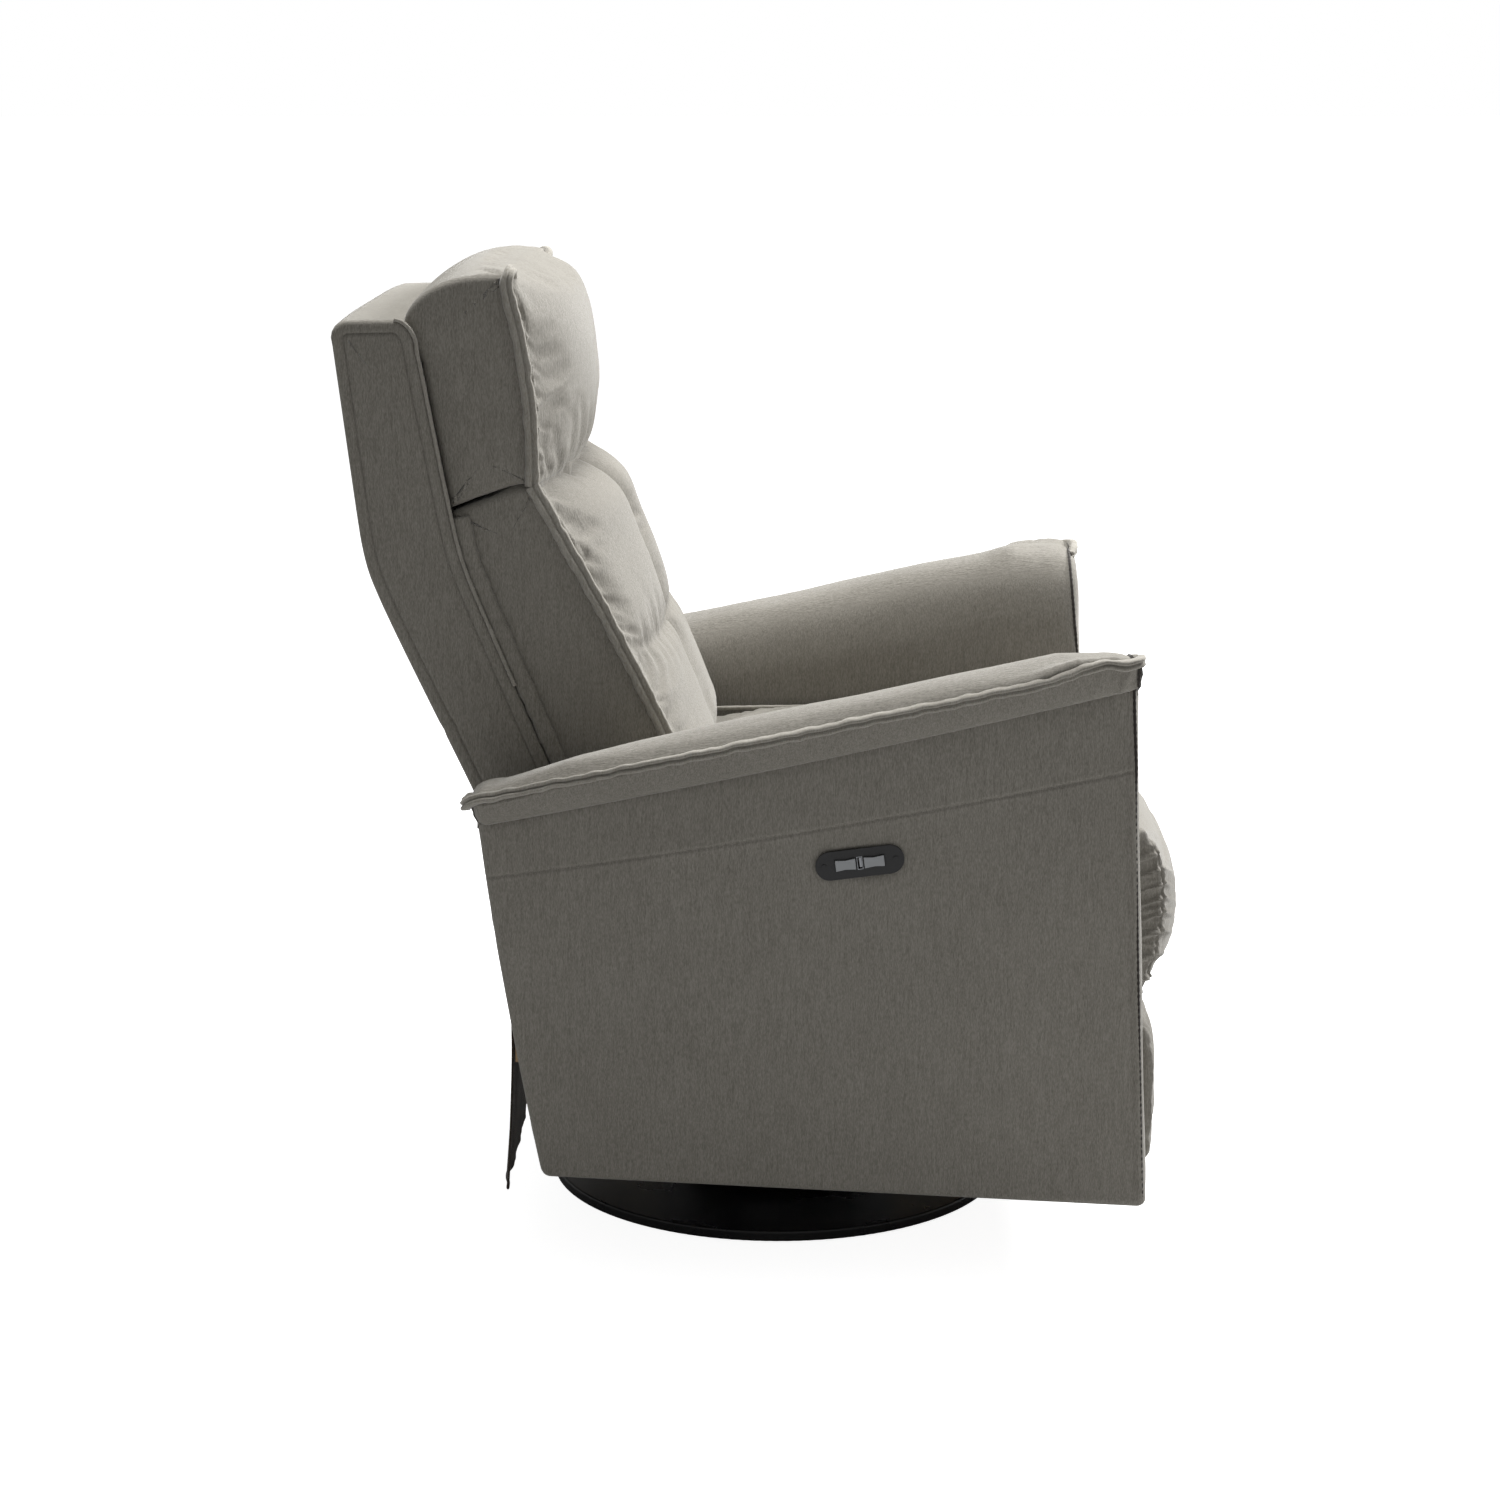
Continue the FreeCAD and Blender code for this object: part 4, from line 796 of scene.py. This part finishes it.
def shell_outline(x):
    """Side view of the upholstered back shell."""
    foot = [SHELL_FRONT[-1], (200, 350), SHELL_REAR[0]]
    return loop_of((SHELL_REAR, 74), (SHELL_TOP, 12), (SHELL_FRONT, 80), (foot, 10))


def seam_rings(rings, inner, depth, outward):
    """End rings of a flat side panel, with a sewn groove all round at inner millimetres from its edge."""
    end = rings[0] if outward < 0 else rings[-1]
    half = abs(end[0, 0])
    flat = end[:, 1:]
    steps = [(inner - 3, 0.5), (inner - 1.2, 0.2), (inner, -depth), (inner + 1.2, 0.3), (inner + 4, 1.0)]
    return [np.column_stack([np.full(len(flat), outward * (half + rise)), inset(flat, move)])
            for move, rise in steps]


def with_side_seams(rings, inner=7.0, depth=1.4):
    """Add the two side panels' seam grooves to rings set across the chair."""
    left = seam_rings(rings, inner, depth, -1)
    right = seam_rings(rings, inner, depth, 1)
    return np.concatenate([np.array(left[::-1]), rings, np.array(right)])


def build_shell():
    half = 266.0
    rings = across(half, shell_outline, edge=6.0, count=56)
    x, y, z = rings[..., 0], rings[..., 1], rings[..., 2]
    column = np.arange(rings.shape[1])[None, :]
    rear = (column < 74)
    bow = 1 - (x / half) ** 4
    y += np.where(rear, 5.0 * bow * np.sin(math.pi * np.clip((z - 352) / 600, 0, 1)), 0)
    y += np.where(rear, 1.4 * smooth_field(x.shape, (9, 9), 31), 0)
    y -= np.where(rear, 1.8 * fade(z - 560, 2.6), 0)
    y -= np.where(rear, 1.6 * fade(np.abs(x) - (half - 9), 2.0), 0)
    z += np.where((column >= 74) & (column < 86), 3.0 * bow, 0)
    shell = loft("back_shell_upholstery", with_side_seams(rings), "fabric_body", "backrest",
                 cap_bulge=2.0, spine=middle_line)
    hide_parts("back_shell")
    for side, label in SIDES:
        points = even_curve(SHELL_FRONT[SHELL_FRONT[:, 1] > 592], 200)
        route = np.column_stack([np.full(len(points), side * (half - 1.5)), points[:, 0] - 0.6, points[:, 1]])
        cord = tube(f"shell_piping_{label}", route, scaled(ROUND, 2.0), (side, -0.4, 0), "welt", "backrest",
                    wobble=0.2, seed=35, stitch=0.06, stitch_pitch=6.0)


BACK_TOP, BACK_LOW, HEAD_TOP = 806.0, 489.0, 1024.0


def back_welt(z):
    share = (z - BACK_LOW) / (BACK_TOP - BACK_LOW)
    return 80 + 162 * share - 5 * np.sin(math.pi * share)


def back_lobe(z):
    """Front of the back cushion's lobes: leaning, with a foot that stands up and a rounded top."""
    return np.maximum(68, 146 + 0.36 * (z - 732)) + 42 * np.clip((z - 756) / 50, 0, 1) ** 3


def head_welt(z):
    return 242 + 25 * np.clip((z - 838) / 170, 0, 1) ** 2


def head_lobe(z):
    """Front of the headrest: almost upright, rounded at its foot and more at its top."""
    rise = np.clip((z - 868) / (HEAD_TOP + 2 - 868), 0, 1)
    return 195 + 38 * rise ** 3 + 29 * rise ** 14 + 13 * np.clip((842 - z) / 30, 0, 1) ** 2


BACK_WELT = edge_points(back_welt, BACK_TOP, BACK_LOW)
BACK_LOBE = edge_points(back_lobe, BACK_TOP, BACK_LOW)
HEAD_WELT = edge_points(head_welt, HEAD_TOP - 2, BACK_TOP)
HEAD_LOBE = edge_points(head_lobe, HEAD_TOP + 2, BACK_TOP + 6, 60)



SWELL_ROOM = 5.0


def between(first, second, count, share):
    """Points of two smooth lines mixed, line by line."""
    a, b = even_curve(first, count + 1), even_curve(second, count + 1)
    return a + (b - a) * share


def crown_share(x, half, power, valley=0.0, valley_wide=40.0):
    """How far the filling swells at x: nothing at the sides, full near the lobes."""
    return (1 - np.abs(x / half) ** power) * (1 - valley * np.exp(-(x / valley_wide) ** 2))


def build_back_cushion():
    half = 257.0
    front_count, edge = 96, 9.0

    def outline(x):
        share = crown_share(x, half, 2.5, valley=0.42, valley_wide=30)
        front = between(BACK_WELT, BACK_LOBE, front_count, share)
        front[:, 0] += SWELL_ROOM * share
        front[:, 0] += 4.0 * fade(front[:, 1] - 634, 11) * share
        low, top = front[-1], front[0]
        rear = edge_points(lambda z: shell_front(z) - 1, 484, 779)
        return np.vstack([front[:-1],
                          even_curve([low, (low[0] + 12, 479), (150, 478), rear[0]], 21)[:-1],
                          even_curve(rear, 49)[:-1],
                          even_curve([rear[-1], (310, 786), (264, 803), top], 19)[:-1]])

    rings = across(half, outline, edge=edge, count=84)
    x, y, z = rings[..., 0], rings[..., 1], rings[..., 2]
    column = np.arange(rings.shape[1])[None, :]
    front = column < front_count
    from_side = half - np.abs(x)
    pleat = waves(z + 0.35 * from_side, (10, 14, 21, 47), 1.0, 41)
    y += np.where(front, 4.6 * pleat * np.exp(-from_side / 11) * np.clip(from_side / 3, 0, 1), 0)
    tufts = 2.0 * waves(x, (19, 31, 43), 1.0, 42) * fade(z - 634, 22)
    y += np.where(front, tufts * crown_share(x, half, 4), 0)
    y += np.where(front, 2.4 * fade(x, 2.4), 0)
    y += np.where(front, 1.4 * waves(z, (17, 29), 1.0, 43) * fade(x, 16), 0)
    y += np.where(front, 1.6 * smooth_field(x.shape, (8, 14), 44), 0)
    cushion = loft("back_cushion_cover", rings, "fabric_body", "backrest", cap_bulge=4.0, spine=middle_line)

    def seams(p):
        middle = (np.abs(p[:, 0]) < 3) | (np.abs(p[:, 2] - 634) < 4)
        return middle | (np.abs(p[:, 0]) > half - 7) | (p[:, 1] > back_welt(p[:, 2]) + 60)

    settle(cushion, seams, pressure=1.6, growth=0.03, cap=6)

    def folds(p, faces_to):
        run = np.clip(half - 5 - np.abs(p[:, 0]), 0, None)
        rows = ((11.5, -0.5, 14.0, 3.2, 41), (18.0, -0.3, 28.0, 2.4, 42))
        return np.where(faces_to[:, 1] < -0.25, gathers(p[:, 2], run, rows), 0)

    press(cushion, folds)
    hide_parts("back_cushion")
    for side, label in SIDES:
        route = even_curve([(side * (half - 2), y + 5, z) for y, z in BACK_WELT], 240)
        flange = tube(f"back_cushion_welt_{label}", route, scaled(LIPS, 0.8, 1.9), (side, -0.45, 0), "welt",
                      "backrest", wobble=1.0, seed=45 + side)
        strip = even_curve(edge_points(lambda z: shell_front(z) - 4, 775, 484), 120)
        route = np.column_stack([np.full(len(strip), side * (half + 1)), strip[:, 0] - 6, strip[:, 1]])
        flap = tube(f"back_side_flap_{label}", route, [(a * 5.5, b * 8.5) for a, b in SOFT_BAR], (side, 0, 0),
                    "fabric_body", "backrest", wobble=0.3, seed=47 + side)


def build_crease_fold():
    """A soft fold of cloth in front of the headrest's lugs, between the headrest and the back."""
    half = 257.0
    x = np.linspace(-251, 251, 170)
    at_lug = np.exp(-((np.abs(x) - 135) / 14) ** 4)
    y = 248 - 29 * crown_share(x, half, 2.5) - 6 * at_lug + 0.8 * waves(x, (43, 71), 1.0, 58)
    path = np.column_stack([x, y, 809 + waves(x, (37, 59), 1.0, 59)])
    fold = tube("headrest_crease_fold", path, [(a * 5, b * 8) for a, b in SOFT_BAR], (0, -1, 0),
                "fabric_body", "backrest", wobble=0.4, seed=60)


def build_headrest():
    half = 257.0
    front_count = 74

    def outline(x):
        share = crown_share(x, half, 2.5)
        rise = 13.0 * crown_share(x, half, 2.6) - 0.01 * x
        front = between(HEAD_WELT, HEAD_LOBE, front_count, share)
        front[:, 0] += SWELL_ROOM * share
        top = front[0].copy()
        crown = np.vstack([quarter((290, 962), 82, 50 + rise, 0, 90), [(top[0] + 4, 1013 + rise)]])
        front[:, 1] += np.linspace(1, 0, len(front)) ** 3 * (1013 + rise - top[1])
        low = front[-1]
        rear = np.vstack([edge_points(lambda z: shell_front(z) - 1, 783, 930), [(372, 962)]])
        return np.vstack([front[:-1],
                          even_curve([low, (low[0] + 14, 807), (270, 804), (310, 790), rear[0]], 19)[:-1],
                          even_curve(rear, 34)[:-1],
                          even_curve(crown, 31)[:-1]])

    rings = across(half, outline, edge=8.0, count=84)
    x, y, z = rings[..., 0], rings[..., 1], rings[..., 2]
    column = np.arange(rings.shape[1])[None, :]
    front = column < front_count
    from_side = half - np.abs(x)
    pleat = waves(z - 0.6 * from_side, (11, 16, 23), 1.0, 51)
    pull = np.clip((1000 - z) / 90, 0, 1)
    y += np.where(front, 5.4 * pleat * pull * np.exp(-from_side / 13) * np.clip(from_side / 3, 0, 1), 0)
    y += np.where(front, 1.3 * smooth_field(x.shape, (7, 12), 52), 0)
    y += np.where(front, 2.6 * waves(x, (17, 29, 41), 1.0, 53) * fade(z - 822, 16), 0)
    pad = loft("headrest_cover", rings, "fabric_body", "headrest", cap_bulge=5.0, spine=middle_line)
    settle(pad, lambda p: (np.abs(p[:, 0]) > half - 6) | (p[:, 1] > 300) | (p[:, 2] < 812),
           pressure=1.6, growth=0.025, cap=6)

    def folds(p, faces_to):
        run = np.clip(half - 5 - np.abs(p[:, 0]), 0, None)
        rows = ((13.0, 0.9, 15.0, 3.4, 51), (21.0, 0.5, 30.0, 2.4, 52))
        lower = np.clip((1000 - p[:, 2]) / 80, 0, 1)
        return np.where(faces_to[:, 1] < -0.25, gathers(p[:, 2], run, rows) * lower, 0)

    press(pad, folds)
    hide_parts("headrest_pad")
    for side, label in SIDES:
        drop = 12.0 if side == LEFT else 0.0
        rise = [(half - 2, y + 5, z) for y, z in HEAD_WELT[::-1] if z < 990]
        ear = [(half - 2, 270, 1004), (half - 5, 268, 1014 - 0.6 * drop), (half - 15, 266, 1017 - drop),
               (half - 30, 268, 1009 - drop), (half - 42, 272, 994 - drop)]
        path = even_curve([(side * out, y, z) for out, y, z in rise + ear], 330)
        upright = np.clip((path[:, 2] - 1006) / 22, 0, 1)
        hints = np.column_stack([np.full(len(path), side * 1.0), np.full(len(path), -0.45), 1.3 * upright])
        taper = 1 - 0.4 * upright - 0.45 * np.clip((half - 20 - np.abs(path[:, 0])) / 60, 0, 1)
        flange = tube(f"headrest_welt_{label}", path, scaled(LIPS, 0.8, 1.8), hints, "welt", "headrest",
                      wobble=0.9, seed=54 + side, size=taper)


# ---------------------------------------------------------------- seat and footrest

def build_seat_cushion():
    half = 271.0

    def outline(x):
        share = crown_share(x, half, 3.2, valley=0.12, valley_wide=24)
        rise = 18.0 * share
        return loop_of(
            ([(-336, 306), (-338, 360), (-338 - 3 * share, 420), (-336 - 3 * share, 446)], 26),
            ([(-336 - 3 * share, 446), (-325, 462 + 0.4 * rise), (-290, 471 + 0.8 * rise), (-150, 471 + rise),
              (0, 468 + 0.75 * rise), (70, 463 + 0.3 * rise), (130, 461), (196, 460)], 86),
            ([(196, 460), (203, 452), (203, 316), (196, 304)], 26),
            ([(196, 304), (-60, 303), (-336, 306)], 40))

    rings = across(half, outline, edge=9.0, count=80)
    x, y, z = rings[..., 0], rings[..., 1], rings[..., 2]
    column = np.arange(rings.shape[1])[None, :]
    top = (column >= 26) & (column < 112)
    from_side = half - np.abs(x)
    shown = np.clip((90 - y) / 60, 0, 1)
    z += np.where(top, 2.8 * waves(y, (19, 27, 41), 1.0, 61) * np.exp(-from_side / 22) * shown, 0)
    z += np.where(top, 1.8 * smooth_field(x.shape, (9, 11), 62) * shown, 0)
    z -= np.where(top, 2.6 * fade(x, 2.5) * shown, 0)
    cushion = loft("seat_cushion_cover", rings, "fabric_body", "seat", cap_bulge=3.0,
                   spine=lambda ring: middle_line(ring, along=1, reach=70.0))

    def seams(p):
        out = np.abs(p[:, 0])
        return (out > half - 8) | (p[:, 2] < 452) | (p[:, 1] > 60) | (out < 3)

    settle(cushion, seams, pressure=2.0, growth=0.035, cap=8)
    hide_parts("seat_cushion")
    for side, label in SIDES:
        line = [(-333, 448), (-322, 462), (-290, 472), (-150, 475), (0, 474), (90, 472), (150, 470)]
        route = even_curve([(side * (half - 5), y, z) for y, z in line], 260)
        flange = tube(f"seat_welt_{label}", route, scaled(ROUND, 2.6), (side * 0.6, 0, 1), "welt", "seat",
                      wobble=0.5, seed=63 + side)


NOSE_BACK = -359.0


def nose_profile(top, low, depth, fullest, roundness):
    """Side view of the nose pad from top to low; fullest is how far down it bulges most."""
    turn = np.linspace(0, 1, 30)
    skew = math.log(0.5) / math.log(math.acos(1 - 2 * fullest) / math.pi)
    bulge = np.sin(math.pi * turn ** skew).clip(0, 1) ** roundness
    return np.column_stack([NOSE_BACK - depth * bulge, top + (low - top) * (1 - np.cos(math.pi * turn)) / 2])


NOSE_SIDE = nose_profile(452, 254, 34, 0.3, 1.5)
NOSE_FULL = nose_profile(455, 250, 71, 0.575, 0.88)



def build_nose():
    """The ruched pad at the top of the footrest: a full front between two gathered side panels."""
    half, seam = 262.0, 243.0
    count = 150

    def outline(x):
        inside = np.clip(np.abs(x) / seam, 0, 1)
        share = (1 - inside ** 2.6) if np.abs(x) <= seam else 0.0
        front = between(NOSE_SIDE, NOSE_FULL, count, 0.16 + 0.84 * share if np.abs(x) <= seam else 0.16)
        beyond = np.clip((np.abs(x) - seam) / (half - seam), 0, 1)
        front[:, 0] += (-361 - front[:, 0]) * 0.9 * beyond ** 1.2
        rear = even_curve([front[-1], (-358, 252), (-357.6, 350), (-358, 453), front[0]], 41)
        return np.vstack([front[:-1], rear[:-1]])

    rings = across(half, outline, edge=6.0, count=120, crowding=0.75)
    x, y, z = rings[..., 0], rings[..., 1], rings[..., 2]
    column = np.arange(rings.shape[1])[None, :]
    front = (column > 3) & (column < count - 3)
    from_seam = np.abs(np.abs(x) - seam)
    y += np.where(front, 3.0 * fade(from_seam, 2.2), 0)
    pad = loft("footrest_nose_cover", rings, "fabric_body", "footrest", cap_bulge=1.0,
               spine=lambda ring: middle_line(ring, reach=12.0))

    def seams(p):
        out = np.abs(p[:, 0])
        return (np.abs(out - seam) < 3.5) | (p[:, 1] > -361) | (out > half - 1)

    settle(pad, seams, pressure=0.3, growth=0.06, cap=3, frames=10, bending=0.05)

    def folds(p, faces_to):
        from_seam = np.abs(p[:, 0]) - seam
        run = np.where(from_seam < 0, -from_seam, 1.2 * from_seam)
        rows = ((19.0, 0.42, 42.0, 6.0, 71), (14.0, -0.3, 22.0, 4.2, 72), (31.0, 0.16, 110.0, 2.8, 73))
        return np.where(p[:, 1] < -364, gathers(p[:, 2] + 40 * (p[:, 0] > 0), run, rows), 0)

    press(pad, folds)
    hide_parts("footrest_pad_upper")


def build_shin_pad():
    half = 262.0

    def outline(x):
        share = crown_share(x, half, 4.0)
        return loop_of(
            ([(-359, 243), (-372, 245), (-384 - 5 * share, 240), (-389 - 7 * share, 222),
              (-390 - 9 * share, 200), (-390 - 9 * share, 157), (-390 - 8 * share, 130),
              (-388 - 7 * share, 108), (-380 - 7 * share, 93), (-370, 88), (-359, 91)], 84),
            ([(-359, 91), (-357.6, 110), (-357.6, 225), (-359, 243)], 30))

    rings = across(half, outline, edge=8.0, count=84)
    x, y, z = rings[..., 0], rings[..., 1], rings[..., 2]
    column = np.arange(rings.shape[1])[None, :]
    front = (column > 3) & (column < 80)
    from_side = half - np.abs(x)
    near_side = np.exp(-from_side / 20) * np.clip(from_side / 4, 0, 1)
    y += np.where(front, 3.0 * waves(z, (14, 21, 33), 1.0, 81) * near_side, 0)
    y += np.where(front, 1.5 * smooth_field(x.shape, (9, 7), 82), 0)
    y += np.where(front, 1.8 * waves(x, (21, 33, 57), 1.0, 83) * (fade(z - 236, 14) + fade(z - 98, 14)), 0)
    pad = loft("footrest_shin_cover", rings, "fabric_body", "footrest", cap_bulge=1.5,
               spine=lambda ring: middle_line(ring, reach=16.0))
    settle(pad, lambda p: (p[:, 1] > -362) | (np.abs(p[:, 0]) > half - 4), pressure=1.2, growth=0.02, cap=3)
    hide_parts("footrest_pad_lower")


# ---------------------------------------------------------------- rear cloth

def thin_sheet(name, rows, thick, material):
    """A thin closed sheet from a grid of points whose rows run downwards."""
    rows = np.asarray(rows, float)
    count, wide = rows.shape[:2]
    behind = rows + np.array([0, -thick, 0])
    points = np.vstack([rows.reshape(-1, 3), behind.reshape(-1, 3)])
    total = count * wide
    faces = grid_faces(count, wide) + [f[::-1] for f in grid_faces(count, wide, start=total)]
    rim = ([(0, c) for c in range(wide)] + [(r, wide - 1) for r in range(1, count)]
           + [(count - 1, c) for c in range(wide - 2, -1, -1)] + [(r, 0) for r in range(count - 2, 0, -1)])
    ids = [r * wide + c for r, c in rim]
    for a, b in zip(ids, ids[1:] + ids[:1]):
        faces.append((a, b, b + total, a + total))
    piece = mesh_piece(name, points, faces, material)
    close_up(piece)
    return piece


def build_rear_cloth():
    half, skirt_top, skirt_low = 262.0, 314.0, 66.0
    across_spots = np.linspace(-half, half, 120)
    drops = np.linspace(0, 1, 60)
    rows = []
    for share in drops:
        z = skirt_top + (skirt_low - skirt_top) * share
        free = np.clip((share - 0.35) / 0.65, 0, 1)
        y = 275.5 + 8.5 * free ** 1.4 + 3.4 * free * waves(across_spots, (71, 113, 173), 1.0, 91)
        y += 0.7 * waves(across_spots + 9 * share, (27, 41), 1.0, 92)
        rows.append(np.column_stack([across_spots, y, np.full(len(across_spots), z)]))
    rows = np.array(rows)
    skirt = thin_sheet("rear_skirt_cloth", rows, 2.2, "fabric_skirt")
    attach(skirt, "seat")
    hem = tube("rear_skirt_hem", rows[-1] + np.array([0, -1.1, 1.5]), [(a * 2.6, b * 1.7) for a, b in ROUND],
               (0, 0, 1), "fabric_skirt", "seat")
    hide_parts("rear_skirt")


def build_closing_cloth():
    """Lining that closes the gap between the skirt and the foot of the back."""
    half = 258.0
    spots = np.linspace(-half, half, 90)
    rows = []
    for share in np.linspace(0, 1, 22):
        y = 268 - 14 * share - 7 * math.sin(math.pi * share)
        z = 306 + 56 * share
        ripple = 1.3 * waves(spots, (61, 83, 127), 1.0, 95) * math.sin(math.pi * share)
        rows.append(np.column_stack([spots, y + ripple, np.full(len(spots), z)]))
    cloth = thin_sheet("rear_closing_cloth", rows[::-1], 1.6, "fabric_skirt")
    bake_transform(cloth)


def build_rocker_springs():
    """A smooth-shaded copy of the rocker springs' coils, fixed where they stand."""
    node = frame["nodes"]["rocker_springs"]
    coils = bpy.data.objects.new("rocker_coils", node.data.copy())
    bpy.context.scene.collection.objects.link(coils)
    coils.data.shade_smooth()
    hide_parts("rocker_springs")
    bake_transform(coils)


build_rocker_springs()
build_closing_cloth()
build_crease_fold()
build_shell()
build_back_cushion()
build_headrest()
build_seat_cushion()
build_nose()
build_shin_pad()
build_rear_cloth()
